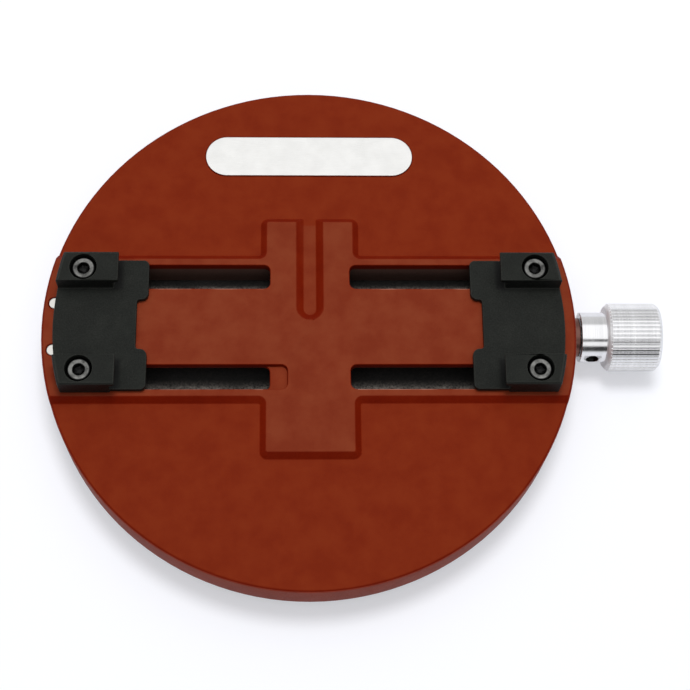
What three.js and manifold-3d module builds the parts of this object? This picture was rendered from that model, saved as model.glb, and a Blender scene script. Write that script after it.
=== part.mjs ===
// PCB holder vise: a round base with two jaws that one screw draws together or apart.
// Millimetres, +Z up, +X towards the knob, +Y to the back.
// The origin is the centre of the base's underside. The jaws are shown fully open.

import * as THREE from 'three';
import { mergeVertices } from 'three/addons/utils/BufferGeometryUtils.js';
import Module from 'manifold-3d';

const wasm = await Module();
wasm.setup();

// Driving sizes of the whole vise
const clampWidth = 73.5;
const rimThickness = 8.7;
const crossRise = 1.3;
const slotSpacing = 20;
const slotWidth = 4.8;
const screwHeight = 4;
const screwDiameter = 4;
const coverThickness = 2.5;
const roofThickness = 2;

// Clearances: round fits, flat faces that slide, parts that only pass each other, and every cut's overrun
const fitGap = 0.06;
const slideGap = 0.1;
const freeGap = 0.3;
const overrun = 1;

// Facets of round pieces: large, middling and small
const discFacets = 128;
const turnedFacets = 32;
const smallFacets = 16;
const cornerFacets = 3;

// Depth of a jaw, from the lugs in front of its clamping face to the rim of the base behind it
const lugReach = 2.1;
const ledgeReach = 4.45;
const jawScrewSetback = 5.35;
const jawBehindScrew = 5.6;
const jawToRim = 2.3;

// Width of a jaw, past its two screws, and of the band that it slides on
const jawBesideScrew = 3.1;
const bandMargin = 0.6;

// Levels and places that several pieces share. The base is as wide as the open jaws and a narrow rim.
const crossTop = rimThickness + crossRise;
const pocketRoof = crossTop - roofThickness;
const clampFace = clampWidth / 2;
const slotNear = (slotSpacing - slotWidth) / 2;
const slotFar = (slotSpacing + slotWidth) / 2;
const jawHalfWidth = slotSpacing / 2 + jawBesideScrew;
const jawUnderside = crossTop + slideGap;
const jawRadius = clampFace + jawScrewSetback + jawBehindScrew;
const discRadius = jawRadius + jawToRim;

// Travel of each jaw, up to the small gap that stays between the lugs when the vise is closed
const closedGap = 2.4;
const jawTravel = clampFace - ledgeReach - lugReach - closedGap / 2;

// Jaw screws: thread, head and the hexagon in it
const jawScrewDiameter = 2.5;
const jawScrewLength = 7;
const jawHeadDiameter = 4.4;
const jawHeadHeight = 2.5;
const jawHexAcrossFlats = 2;
const jawHexDepth = 1.3;
const jawScrewPlace = clampFace + jawScrewSetback;

// Legs that carry the jaws through the slots
const legLength = 7;
const legInner = jawScrewPlace - legLength / 2;
const legOuter = jawScrewPlace + legLength / 2;
const legEndRoom = 0.4;
const legStopRoom = 2.1;
const slotInner = legInner - jawTravel - legStopRoom;
const pocketEnd = legOuter + legEndRoom;

// Far bearing, its two dowel pins and the screw's journal in it
const pinDiameter = 2.3;
const pinSpacing = 9.3;
const pinSetback = 2.3;
const pinPlace = discRadius - pinSetback;
const bearingReach = 1.6;
const bearingCheek = 0.5;
const bearingHalfWidth = (pinSpacing + pinDiameter) / 2 + bearingCheek;
const journalDiameter = 3;

// Bush at the knob's side and the ring that holds the screw against it
const bushDiameter = 6;
const flangeDiameter = 7.4;
const flangeThickness = 1.25;
const ringDiameter = 6.4;
const ringThickness = 1.6;

// Nuts on the screw and the carriages that they push
const nutLength = 7;
const nutWidth = 9;
const nutHeight = 6.2;
const nutWall = 1.95;
const bridgeOuter = pocketEnd - Math.max(bearingReach, ringThickness + slideGap) - freeGap;
const bridgeInner = bridgeOuter - nutLength - nutWall * 2;
const nutPlace = (bridgeInner + bridgeOuter) / 2;

// Cover plate under the mechanism and its screws
const ledgeWidth = 4.6;
const coverHalfWidth = slotFar + ledgeWidth;
const coverHalfLength = pocketEnd;
const coverScrewInset = 16;
const coverScrewsPerSide = 3;
const coverScrewDiameter = 2.5;
const coverScrewLength = 6;
const coverHeadDiameter = 4.4;
const coverHeadDepth = 1.3;
const coverHexAcrossFlats = 1.5;
const coverHexDepth = 0.8;
const coverScrewPlace = slotFar + ledgeWidth / 2;
const grooveFloor = screwHeight - nutHeight / 2 - freeGap;
const grooveHalfWidth = nutWidth / 2 + freeGap;

// Rubber feet on a circle round the centre
const footDiameter = 12;
const footHeight = 3;
const footSeat = 0.5;
const footInset = 10;
const footCircle = discRadius - footInset;
const footRound = 0.6;
const footAngles = [1, 3, 5, 7].map((eighths) => (eighths * Math.PI) / 4);

// Bare plate let into the back of the base
const plateLength = 40.2;
const plateWidth = 8.3;
const plateThickness = 0.5;
const plateSeat = 0.3;
const plateSetback = 14;
const plateY = discRadius - plateSetback;

// Colours and finishes
const finishes = {
  redStone: { color: 0x7a2e17, roughness: 0.5, metalness: 0 },
  blackPlate: { color: 0x1b1b1a, roughness: 0.8, metalness: 0 },
  blackenedSteel: { color: 0x2d2e2f, roughness: 0.55, metalness: 0.4 },
  polishedSteel: { color: 0xd8d9dc, roughness: 0.2, metalness: 1 },
  brushedSteel: { color: 0xc9c7c2, roughness: 0.4, metalness: 1 },
  aluminium: { color: 0xd2d3d6, roughness: 0.3, metalness: 1 },
  brass: { color: 0xb08d45, roughness: 0.35, metalness: 1 },
  rubber: { color: 0x151515, roughness: 0.9, metalness: 0 },
};

// A three.js geometry as a solid that can be cut and joined
function toSolid(geometry) {
  const bare = geometry.clone();
  bare.deleteAttribute('normal');
  bare.deleteAttribute('uv');
  const merged = mergeVertices(bare);
  const corners = merged.index.array;
  const kept = [];
  for (let i = 0; i < corners.length; i += 3) {
    const triangle = [corners[i], corners[i + 1], corners[i + 2]];
    if (new Set(triangle).size === triangle.length) kept.push(...triangle);
  }
  const vertProperties = Float32Array.from(merged.attributes.position.array);
  const mesh = new wasm.Mesh({ numProp: 3, vertProperties, triVerts: Uint32Array.from(kept) });
  return new wasm.Manifold(mesh);
}

// A solid as a three.js geometry
function toGeometry(solid) {
  const mesh = solid.getMesh();
  const geometry = new THREE.BufferGeometry();
  geometry.setAttribute('position', new THREE.BufferAttribute(Float32Array.from(mesh.vertProperties), 3));
  geometry.setIndex(new THREE.BufferAttribute(Uint32Array.from(mesh.triVerts), 1));
  geometry.computeVertexNormals();
  return geometry;
}

// A box between two opposite corners
function box(low, high) {
  const size = high.map((value, axis) => value - low[axis]);
  const middle = high.map((value, axis) => (value + low[axis]) / 2);
  return toSolid(new THREE.BoxGeometry(...size).translate(...middle));
}

// An outline drawn in X and Y, raised from one height to another
function prism(shape, bottom, top, curveSegments = cornerFacets) {
  const options = { depth: top - bottom, bevelEnabled: false, curveSegments };
  return toSolid(new THREE.ExtrudeGeometry(shape, options).translate(0, 0, bottom));
}

// A revolved profile of [radius, height] pairs that starts and ends on the Z axis
function turned(profile, facets) {
  const points = profile.map(([radius, height]) => new THREE.Vector2(radius, height));
  return toSolid(new THREE.LatheGeometry(points, facets).rotateX(Math.PI / 2));
}

// An upright cylinder, for round pieces and for the bores that are cut in others
function upright(radius, bottom, top, facets) {
  return turned([[0, bottom], [radius, bottom], [radius, top], [0, top]], facets);
}

// Moves a solid that was turned upright so that it lies along the lead screw's axis
function alongScrew(solid) {
  return solid.rotate([0, 90, 0]).translate([0, 0, screwHeight]);
}

// A closed outline from corners [x, y, radius], counter-clockwise, each corner rounded by an arc
function roundedOutline(corners) {
  const shape = new THREE.Shape();
  corners.forEach(([x, y, radius], i) => {
    const here = new THREE.Vector2(x, y);
    const before = new THREE.Vector2(...corners.at(i - 1)).sub(here).normalize();
    const after = new THREE.Vector2(...corners[(i + 1) % corners.length]).sub(here).normalize();
    const halfAngle = Math.acos(before.dot(after)) / 2;
    const centre = before.clone().add(after).setLength(radius / Math.sin(halfAngle)).add(here);
    const reach = radius / Math.tan(halfAngle);
    const start = before.clone().multiplyScalar(reach).add(here).sub(centre).angle();
    const end = after.clone().multiplyScalar(reach).add(here).sub(centre).angle();
    shape.absarc(centre.x, centre.y, radius, start, end, before.cross(after) > 0);
  });
  return shape;
}

// A long outline with two round ends, its length along X
function stadium(length, width) {
  const straight = (length - width) / 2;
  const shape = new THREE.Shape();
  shape.absarc(straight, 0, width / 2, -Math.PI / 2, Math.PI / 2, false);
  shape.absarc(-straight, 0, width / 2, Math.PI / 2, Math.PI * 1.5, false);
  return shape;
}

// A hexagonal prism that cuts a key socket downwards from a head's top
const keySides = 6;

function keySocket(acrossFlats, top, depth) {
  const cornerRadius = acrossFlats / 2 / Math.cos(Math.PI / keySides);
  return upright(cornerRadius, top - depth, top + overrun, keySides);
}

// Adds a named mesh to its group
function addMesh(parent, name, solidOrGeometry, finish) {
  const geometry = solidOrGeometry.isBufferGeometry ? solidOrGeometry : toGeometry(solidOrGeometry);
  const mesh = new THREE.Mesh(geometry, new THREE.MeshStandardMaterial(finishes[finish]));
  mesh.name = name;
  parent.add(mesh);
  return mesh;
}

// Base: the disc, with a small chamfer on both rims
const rimChamfer = 0.4;

function disc() {
  const inner = discRadius - rimChamfer;
  const profile = [
    [0, 0],
    [inner, 0],
    [discRadius, rimChamfer],
    [discRadius, rimThickness - rimChamfer],
    [inner, rimThickness],
    [0, rimThickness],
  ];
  return turned(profile, discFacets);
}

// Base: the raised cross of a full-width band and a stem, with walls that slope outwards
const bandHalfWidth = jawHalfWidth + bandMargin;
const stemHalfWidth = 8.15;
const stemFront = 24.4;
const stemBack = 21.4;
const wallRun = 1.15;
const crossInnerRadius = 1.5;
const crossOuterRadius = 0.35;

function raisedCross() {
  const far = discRadius + wallRun + overrun;
  const [band, stem] = [bandHalfWidth, stemHalfWidth];
  const [soft, sharp] = [crossInnerRadius, crossOuterRadius];
  const outline = roundedOutline([
    [-stem, -stemFront, sharp],
    [stem, -stemFront, sharp],
    [stem, -band, soft],
    [far, -band, sharp],
    [far, band, sharp],
    [stem, band, soft],
    [stem, stemBack, sharp],
    [-stem, stemBack, sharp],
    [-stem, band, soft],
    [-far, band, sharp],
    [-far, -band, sharp],
    [-stem, -band, soft],
  ]);
  const buried = rimThickness / 4;
  const options = {
    depth: buried,
    bevelThickness: crossRise,
    bevelSize: wallRun,
    bevelSegments: 1,
    curveSegments: cornerFacets,
  };
  const lift = rimThickness - buried;
  const slab = toSolid(new THREE.ExtrudeGeometry(outline, options).translate(0, 0, lift));
  const inner = discRadius - rimChamfer;
  const limit = turned([
    [0, rimChamfer],
    [discRadius, rimChamfer],
    [discRadius, crossTop - rimChamfer],
    [inner, crossTop],
    [0, crossTop],
  ], discFacets);
  return slab.intersect(limit);
}

// Base: the probe groove in the stem, round at its front end and open at the back
const grooveEnd = 1.3;
const grooveFloorWidth = 2.3;
const grooveTopWidth = 5.2;

function stemGroove() {
  const floorHalf = grooveFloorWidth / 2;
  const slope = (grooveTopWidth - grooveFloorWidth) / 2 / crossRise;
  const height = crossRise + overrun;
  const centreY = grooveEnd + grooveTopWidth / 2;
  const openEnd = stemBack + wallRun + overrun;
  const outline = new THREE.Shape();
  outline.absarc(0, centreY, floorHalf, Math.PI, Math.PI * 2, false);
  outline.lineTo(floorHalf, openEnd);
  outline.lineTo(-floorHalf, openEnd);
  const options = {
    depth: overrun,
    bevelThickness: height,
    bevelSize: slope * height,
    bevelSegments: 1,
    curveSegments: cornerFacets * 2,
  };
  const lift = rimThickness + height;
  return toSolid(new THREE.ExtrudeGeometry(outline, options).translate(0, 0, lift));
}

// Base: one of the four slots that the jaws' legs run in, on the side given by two signs
const slotCorner = 1.2;

function legSlot(sideX, sideY) {
  const nearY = sideY * slotNear;
  const farY = sideY * slotFar;
  const endX = sideX * pocketEnd;
  const startX = sideX * slotInner;
  const [lowX, highX] = [Math.min(startX, endX), Math.max(startX, endX)];
  const [lowY, highY] = [Math.min(nearY, farY), Math.max(nearY, farY)];
  const outline = roundedOutline([
    [lowX, lowY, slotCorner],
    [highX, lowY, slotCorner],
    [highX, highY, slotCorner],
    [lowX, highY, slotCorner],
  ]);
  return prism(outline, pocketRoof - overrun, crossTop + overrun);
}

// Base: the shallow step that runs on from the front left slot
const stepReach = 3.3;
const stepDepth = 1;

function slotStep() {
  const endX = stepReach - slotInner;
  const startX = -slotInner - slotWidth;
  const outline = roundedOutline([
    [startX, -slotFar, slotCorner],
    [endX, -slotFar, slotCorner],
    [endX, -slotNear, slotCorner],
    [startX, -slotNear, slotCorner],
  ]);
  return prism(outline, crossTop - stepDepth, crossTop + overrun);
}

// Base: the pocket for the mechanism, the ledge for the cover and the far bearing's notch
function pocket() {
  const room = box([-pocketEnd, -slotFar, -overrun], [pocketEnd, slotFar, pocketRoof]);
  const ledge = box(
    [-coverHalfLength, -coverHalfWidth, -overrun],
    [coverHalfLength, coverHalfWidth, coverThickness],
  );
  const notch = box([-pinPlace, -bearingHalfWidth, -overrun], [0, bearingHalfWidth, pocketRoof]);
  return room.add(ledge).add(notch);
}

// Base: holes for the dowel pins, the bush, the cover screws, the feet and the plate
function baseHoles() {
  const pinHole = upright(pinDiameter / 2 + fitGap, coverThickness, crossTop + overrun, smallFacets);
  const bushHole = alongScrew(upright(bushDiameter / 2 + fitGap, 0, discRadius + overrun, turnedFacets));
  const threadTop = coverScrewLength + freeGap;
  const threadHole = upright(coverScrewDiameter / 2 + fitGap, 0, threadTop, smallFacets);
  const footHole = upright(footDiameter / 2 + slideGap, -overrun, footSeat, turnedFacets);
  const plateHole = prism(
    stadium(plateLength + slideGap * 2, plateWidth + slideGap * 2),
    rimThickness - plateSeat,
    rimThickness + overrun,
    smallFacets / 2,
  );
  let holes = bushHole.add(plateHole.translate([0, plateY, 0]));
  for (const side of [-1, 1]) {
    holes = holes.add(pinHole.translate([-pinPlace, (side * pinSpacing) / 2, 0]));
    for (const x of coverScrewColumns()) {
      holes = holes.add(threadHole.translate([x, side * coverScrewPlace, 0]));
    }
  }
  for (const angle of footAngles) {
    holes = holes.add(footHole.translate([footCircle * Math.cos(angle), footCircle * Math.sin(angle), 0]));
  }
  return holes;
}

// X places of the cover screws, even along the cover and inset from its ends
function coverScrewColumns() {
  const reach = coverHalfLength - coverScrewInset;
  const middle = (coverScrewsPerSide - 1) / 2;
  return Array.from({ length: coverScrewsPerSide }, (_, i) => (i / middle - 1) * reach);
}

function basePlate() {
  let base = disc().add(raisedCross()).subtract(stemGroove()).subtract(slotStep());
  for (const sideX of [-1, 1]) {
    for (const sideY of [-1, 1]) base = base.subtract(legSlot(sideX, sideY));
  }
  return base.subtract(pocket()).subtract(baseHoles());
}

// Cover plate: flush in the underside, grooved for the nuts, with a tongue under the far bearing
function coverPlate() {
  const plate = box(
    [slideGap - coverHalfLength, slideGap - coverHalfWidth, 0],
    [coverHalfLength - slideGap, coverHalfWidth - slideGap, coverThickness],
  );
  const tongue = box(
    [slideGap - pinPlace, slideGap - bearingHalfWidth, 0],
    [0, bearingHalfWidth - slideGap, coverThickness],
  );
  const groove = box(
    [-discRadius, -grooveHalfWidth, grooveFloor],
    [discRadius, grooveHalfWidth, coverThickness + overrun],
  );
  let cover = plate.add(tongue).subtract(groove);
  const headRadius = coverHeadDiameter / 2 + fitGap;
  const shankRadius = coverScrewDiameter / 2 + fitGap;
  const hole = turned([
    [0, -overrun],
    [headRadius, -overrun],
    [headRadius, fitGap],
    [shankRadius, coverHeadDepth + fitGap],
    [shankRadius, coverThickness + overrun],
    [0, coverThickness + overrun],
  ], smallFacets);
  for (const x of coverScrewColumns()) {
    for (const side of [-1, 1]) cover = cover.subtract(hole.translate([x, side * coverScrewPlace, 0]));
  }
  return cover;
}

// Countersunk cover screw, its head level with the underside
function coverScrew() {
  const headRadius = coverHeadDiameter / 2;
  const shankRadius = coverScrewDiameter / 2;
  const body = turned([
    [0, 0],
    [headRadius, 0],
    [shankRadius, coverHeadDepth],
    [shankRadius, coverScrewLength],
    [0, coverScrewLength],
  ], smallFacets);
  const socket = keySocket(coverHexAcrossFlats, 0, coverHexDepth).rotate([180, 0, 0]);
  return body.subtract(socket);
}

// Rubber foot, seated in the underside and rounded at its lower rim
function rubberFoot() {
  const radius = footDiameter / 2;
  return turned([
    [0, -footHeight],
    [radius - footRound, -footHeight],
    [radius, footRound - footHeight],
    [radius, footSeat],
    [0, footSeat],
  ], turnedFacets);
}

// Far bearing: a block whose foot stands in the cover's groove, held by two dowel pins
// that run half in it and half in the base
function farBearing() {
  const outer = -pinPlace + slideGap;
  const inner = -pocketEnd + bearingReach;
  const half = bearingHalfWidth - slideGap;
  const footHalf = grooveHalfWidth - slideGap;
  const bore = alongScrew(upright(journalDiameter / 2 + fitGap, -discRadius, 0, turnedFacets));
  const pinHole = upright(pinDiameter / 2 + fitGap, 0, crossTop, smallFacets);
  const head = box([outer, -half, coverThickness + slideGap], [inner, half, pocketRoof - slideGap]);
  const foot = box([outer, -footHalf, grooveFloor + slideGap], [inner, footHalf, screwHeight]);
  let block = head.add(foot).subtract(bore);
  for (const side of [-1, 1]) {
    block = block.subtract(pinHole.translate([-pinPlace, (side * pinSpacing) / 2, 0]));
  }
  return block;
}

// Dowel pin, level with the raised cross, with a small chamfer at both ends
const pinChamfer = 0.2;

function dowelPin() {
  const radius = pinDiameter / 2;
  const bottom = coverThickness + slideGap;
  return turned([
    [0, bottom],
    [radius - pinChamfer, bottom],
    [radius, bottom + pinChamfer],
    [radius, crossTop - pinChamfer],
    [radius - pinChamfer, crossTop],
    [0, crossTop],
  ], smallFacets);
}

// Flanged bush in the rim on the knob's side
function knobBush() {
  const flangeEnd = discRadius + flangeThickness;
  const body = turned([
    [0, pocketEnd],
    [bushDiameter / 2, pocketEnd],
    [bushDiameter / 2, discRadius],
    [flangeDiameter / 2, discRadius],
    [flangeDiameter / 2, flangeEnd],
    [0, flangeEnd],
  ], turnedFacets);
  const bore = upright(screwDiameter / 2 + fitGap, 0, flangeEnd + overrun, turnedFacets);
  return alongScrew(body.subtract(bore));
}

// Bare plate with round ends
function barePlate() {
  const bottom = rimThickness - plateSeat;
  return prism(stadium(plateLength, plateWidth), bottom, bottom + plateThickness, smallFacets / 2);
}

// Lead screw: a right-handed left half, a left-handed right half, a neck between, and the knob's stem
const neckDiameter = 3;
const neckLength = 3;
const journalShare = 0.9;
const stemLength = 11;

function leadScrew() {
  const journalReach = pinPlace - pocketEnd + bearingReach;
  const shoulder = -pocketEnd + bearingReach + slideGap;
  const journalEnd = shoulder - journalReach * journalShare;
  const stemEnd = discRadius + flangeThickness + stemLength;
  const [thread, neck, journal] = [screwDiameter / 2, neckDiameter / 2, journalDiameter / 2];
  const halfNeck = neckLength / 2;
  return alongScrew(turned([
    [0, journalEnd],
    [journal, journalEnd],
    [journal, shoulder],
    [thread, shoulder],
    [thread, -halfNeck],
    [neck, -halfNeck],
    [neck, halfNeck],
    [thread, halfNeck],
    [thread, stemEnd],
    [0, stemEnd],
  ], turnedFacets));
}

// Ring on the screw that bears on the bush's inner end
function retainingRing() {
  const outer = pocketEnd - slideGap;
  const inner = outer - ringThickness;
  const ring = upright(ringDiameter / 2, inner, outer, turnedFacets);
  return alongScrew(ring.subtract(upright(screwDiameter / 2 + fitGap, 0, discRadius, turnedFacets)));
}

// Knob: a plain hub for the grub screw and a knurled grip in one piece
const hubDiameter = 9.5;
const hubLength = 4.8;
const hubChamfer = 0.2;
const gripDiameter = 12.9;
const gripLength = 10.2;
const gripChamfer = 0.75;
const knurlTeeth = 50;
const knurlDepth = 0.4;
const knurlCrestShare = 0.5;
const hubStart = discRadius + flangeThickness + slideGap;
const gripStart = hubStart + hubLength;
const gripEnd = gripStart + gripLength;

// Grub screw in the hub
const grubDiameter = 2.3;
const grubLength = 1.8;
const grubShare = 0.47;
const grubLean = 83;
const grubHexAcrossFlats = 1.3;
const grubHexDepth = 0.9;
const grubPlace = hubStart + hubLength * grubShare;

// Outline of the knurl: straight teeth with flat crests and sharp valleys
function knurlOutline() {
  const crest = gripDiameter / 2;
  const valley = crest - knurlDepth;
  const pitch = (Math.PI * 2) / knurlTeeth;
  const crestHalf = (pitch * knurlCrestShare) / 2;
  const points = [];
  for (let tooth = 0; tooth < knurlTeeth; tooth += 1) {
    const angle = tooth * pitch;
    for (const [radius, turn] of [[valley, -pitch / 2], [crest, -crestHalf], [crest, crestHalf]]) {
      points.push(new THREE.Vector2(radius * Math.cos(angle + turn), radius * Math.sin(angle + turn)));
    }
  }
  return new THREE.Shape(points);
}

// Leans a solid that stands on the Z axis to the grub screw's direction and moves it to its place
function atGrub(solid) {
  return solid.rotate([grubLean, 0, 0]).translate([grubPlace, 0, screwHeight]);
}

function knob() {
  const crest = gripDiameter / 2;
  const knurl = prism(knurlOutline(), gripStart, gripEnd);
  const cone = crest + overrun;
  const slant = gripChamfer + overrun;
  const grip = knurl.intersect(turned([
    [0, gripStart],
    [crest - gripChamfer, gripStart],
    [cone, gripStart + slant],
    [cone, gripEnd - slant],
    [crest - gripChamfer, gripEnd],
    [0, gripEnd],
  ], knurlTeeth));
  const hub = turned([
    [0, hubStart],
    [hubDiameter / 2 - hubChamfer, hubStart],
    [hubDiameter / 2, hubStart + hubChamfer],
    [hubDiameter / 2, gripStart + gripChamfer],
    [0, gripStart + gripChamfer],
  ], turnedFacets);
  const boreEnd = discRadius + flangeThickness + stemLength + freeGap;
  const bore = upright(screwDiameter / 2 + fitGap, 0, boreEnd, turnedFacets);
  const grubHole = upright(grubDiameter / 2 + fitGap, 0, hubDiameter, smallFacets);
  return alongScrew(grip.add(hub).subtract(bore)).subtract(atGrub(grubHole));
}

function grubScrew() {
  const start = screwDiameter / 2 + slideGap;
  const top = start + grubLength;
  const body = upright(grubDiameter / 2, start, top, smallFacets);
  return atGrub(body.subtract(keySocket(grubHexAcrossFlats, top, grubHexDepth)));
}

// Jaw: widths, heights and reaches of its ledge, lugs, blocks and lips
const ledgeInset = 0.25;
const ledgeThickness = 1.1;
const lugInnerY = 4.9;
const lugOuterRadius = 1;
const lugInnerRadius = 1.3;
const recessRadius = 0.6;
const blockHeight = 3.7;
const blockWidth = 5.85;
const lipReach = 1.15;
const lipHeight = 0.8;
const lipSlope = 0.85;
const jawOuterChamfer = 0.5;
const jawSideChamfer = 0.35;
const ledgeHalfWidth = jawHalfWidth - ledgeInset;
const ledgeTop = jawUnderside + ledgeThickness;
const blockTop = ledgeTop + blockHeight;
const jawHeadSink = 0.7;
const jawHeadBottom = blockTop - jawHeadSink - jawHeadHeight;
const counterboreGap = 0.3;
const jawHeadEdge = 0.2;

// Sole with the ledge and its two lugs, on the right-hand side of the base
function jawSole() {
  const recessX = clampFace - ledgeReach;
  const lugX = recessX - lugReach;
  const sharp = recessRadius / 2;
  const far = discRadius + overrun;
  const ledge = roundedOutline([
    [lugX, -ledgeHalfWidth, lugOuterRadius],
    [far, -ledgeHalfWidth, sharp],
    [far, ledgeHalfWidth, sharp],
    [lugX, ledgeHalfWidth, lugOuterRadius],
    [lugX, lugInnerY, lugInnerRadius],
    [recessX, lugInnerY, recessRadius],
    [recessX, -lugInnerY, recessRadius],
    [lugX, -lugInnerY, lugInnerRadius],
  ]);
  return prism(ledge, jawUnderside, ledgeTop);
}

// Raised block with a lip that reaches over the edge of the board, drawn in X and Z and run along Y
function jawBlock(side) {
  const far = discRadius + overrun;
  const lipX = clampFace - lipReach;
  const lipBottom = blockTop - lipHeight;
  const outline = new THREE.Shape([
    new THREE.Vector2(clampFace, jawUnderside),
    new THREE.Vector2(far, jawUnderside),
    new THREE.Vector2(far, blockTop),
    new THREE.Vector2(lipX, blockTop),
    new THREE.Vector2(lipX, lipBottom),
    new THREE.Vector2(clampFace, lipBottom - lipSlope),
  ]);
  const run = new THREE.ExtrudeGeometry(outline, { depth: blockWidth, bevelEnabled: false });
  const nearY = side > 0 ? jawHalfWidth : blockWidth - jawHalfWidth;
  return toSolid(run.rotateX(Math.PI / 2).translate(0, nearY, 0));
}

// Band along X that the jaw is cut to: it breaks the long outer edges of both blocks
function jawBand() {
  const shoulder = blockTop - jawSideChamfer;
  const inner = jawHalfWidth - jawSideChamfer;
  const outline = new THREE.Shape([
    new THREE.Vector2(-jawHalfWidth, 0),
    new THREE.Vector2(jawHalfWidth, 0),
    new THREE.Vector2(jawHalfWidth, shoulder),
    new THREE.Vector2(inner, blockTop),
    new THREE.Vector2(-inner, blockTop),
    new THREE.Vector2(-jawHalfWidth, shoulder),
  ]);
  const run = new THREE.ExtrudeGeometry(outline, { depth: discRadius, bevelEnabled: false });
  return toSolid(run.rotateX(Math.PI / 2).rotateZ(Math.PI / 2));
}

function jaw() {
  const inner = jawRadius - jawOuterChamfer;
  const limit = turned([
    [0, 0],
    [jawRadius, 0],
    [jawRadius, blockTop - jawOuterChamfer],
    [inner, blockTop],
    [0, blockTop],
  ], discFacets);
  const blocks = jawBlock(1).add(jawBlock(-1));
  let body = jawSole().add(blocks).intersect(limit).intersect(jawBand());
  const shankHole = upright(jawScrewDiameter / 2 + fitGap, 0, blockTop, smallFacets);
  const headRadius = (jawHeadDiameter + counterboreGap * 2) / 2;
  const headHole = upright(headRadius, jawHeadBottom, blockTop + overrun, turnedFacets);
  for (const side of [-1, 1]) {
    const place = [jawScrewPlace, (side * slotSpacing) / 2, 0];
    body = body.subtract(shankHole.translate(place)).subtract(headHole.translate(place));
  }
  return body;
}

// Socket screw that holds a jaw on its leg
function jawScrew() {
  const top = jawHeadBottom + jawHeadHeight;
  const bottom = jawHeadBottom - jawScrewLength;
  const [head, shank] = [jawHeadDiameter / 2, jawScrewDiameter / 2];
  const edge = jawHeadEdge;
  const body = turned([
    [0, bottom],
    [shank, bottom],
    [shank, jawHeadBottom],
    [head, jawHeadBottom],
    [head, top - edge],
    [head - edge, top],
    [0, top],
  ], turnedFacets);
  return body.subtract(keySocket(jawHexAcrossFlats, top, jawHexDepth));
}

// Carriage: a bridge across the pocket with a window for the nut, and a leg up through each slot
function carriage() {
  const bottom = coverThickness + slideGap;
  const top = pocketRoof - slideGap;
  const half = slotFar - slideGap;
  const nearY = half - (slotWidth - slideGap * 2);
  const windowX = nutLength / 2 + fitGap;
  const windowY = nutWidth / 2 + fitGap;
  const bridge = box([bridgeInner, -half, bottom], [bridgeOuter, half, top]);
  const window = box([nutPlace - windowX, -windowY, 0], [nutPlace + windowX, windowY, crossTop]);
  const bore = alongScrew(upright(screwDiameter / 2 + freeGap, 0, discRadius, turnedFacets));
  const threadHole = upright(jawScrewDiameter / 2 + fitGap, 0, crossTop + overrun, smallFacets);
  let body = bridge;
  for (const side of [-1, 1]) {
    const [lowY, highY] = side > 0 ? [nearY, half] : [-half, -nearY];
    const leg = roundedOutline([
      [legInner, lowY, slotCorner],
      [legOuter, lowY, slotCorner],
      [legOuter, highY, slotCorner],
      [legInner, highY, slotCorner],
    ]);
    body = body.add(prism(leg, bottom, jawUnderside));
  }
  body = body.subtract(window).subtract(bore);
  for (const side of [-1, 1]) {
    body = body.subtract(threadHole.translate([jawScrewPlace, (side * slotSpacing) / 2, 0]));
  }
  return body;
}

// Nut: a block on the screw that fills the carriage's window
function driveNut() {
  const halfLength = nutLength / 2;
  const halfHeight = nutHeight / 2;
  const block = box(
    [nutPlace - halfLength, -nutWidth / 2, screwHeight - halfHeight],
    [nutPlace + halfLength, nutWidth / 2, screwHeight + halfHeight],
  );
  return block.subtract(alongScrew(upright(screwDiameter / 2 + fitGap, 0, discRadius, turnedFacets)));
}

// The five pieces that move together on one side: the same parts, turned round for the left
function addSide(parent, name, angle) {
  const side = new THREE.Group();
  side.rotation.z = angle;
  parent.add(side);
  addMesh(side, `${name}_jaw`, jaw(), 'blackenedSteel');
  addMesh(side, `${name}_carriage`, carriage(), 'blackenedSteel');
  addMesh(side, `${name}_nut`, driveNut(), 'brass');
  const places = angle ? { front: 1, back: -1 } : { front: -1, back: 1 };
  for (const [end, sign] of Object.entries(places)) {
    const screw = addMesh(side, `${name}_jaw_screw_${end}`, jawScrew(), 'polishedSteel');
    screw.position.set(jawScrewPlace, (sign * slotSpacing) / 2, 0);
  }
}

function build() {
  const vise = new THREE.Group();
  addMesh(vise, 'base_plate', basePlate(), 'redStone');
  addMesh(vise, 'cover_plate', coverPlate(), 'blackPlate');
  addMesh(vise, 'nameplate', barePlate(), 'brushedSteel').position.y = plateY;
  coverScrewColumns().forEach((x, column) => {
    for (const [end, side] of [['front', -1], ['back', 1]]) {
      const screw = addMesh(vise, `cover_screw_${end}_${column + 1}`, coverScrew(), 'blackenedSteel');
      screw.position.set(x, side * coverScrewPlace, 0);
    }
  });
  const footNames = ['back_right', 'back_left', 'front_left', 'front_right'];
  footAngles.forEach((angle, i) => {
    const foot = addMesh(vise, `foot_${footNames[i]}`, rubberFoot(), 'rubber');
    foot.position.set(footCircle * Math.cos(angle), footCircle * Math.sin(angle), 0);
  });
  addMesh(vise, 'far_bearing', farBearing(), 'brass');
  for (const [end, side] of [['front', -1], ['back', 1]]) {
    const pin = addMesh(vise, `bearing_pin_${end}`, dowelPin(), 'polishedSteel');
    pin.position.set(-pinPlace, (side * pinSpacing) / 2, 0);
  }
  addMesh(vise, 'knob_bush', knobBush(), 'polishedSteel');
  addMesh(vise, 'lead_screw', leadScrew(), 'brushedSteel');
  addMesh(vise, 'retaining_ring', retainingRing(), 'brushedSteel');
  addMesh(vise, 'knob', knob(), 'aluminium');
  addMesh(vise, 'grub_screw', grubScrew(), 'blackenedSteel');
  addSide(vise, 'right', 0);
  addSide(vise, 'left', Math.PI);
  return vise;
}

export default build();
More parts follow.
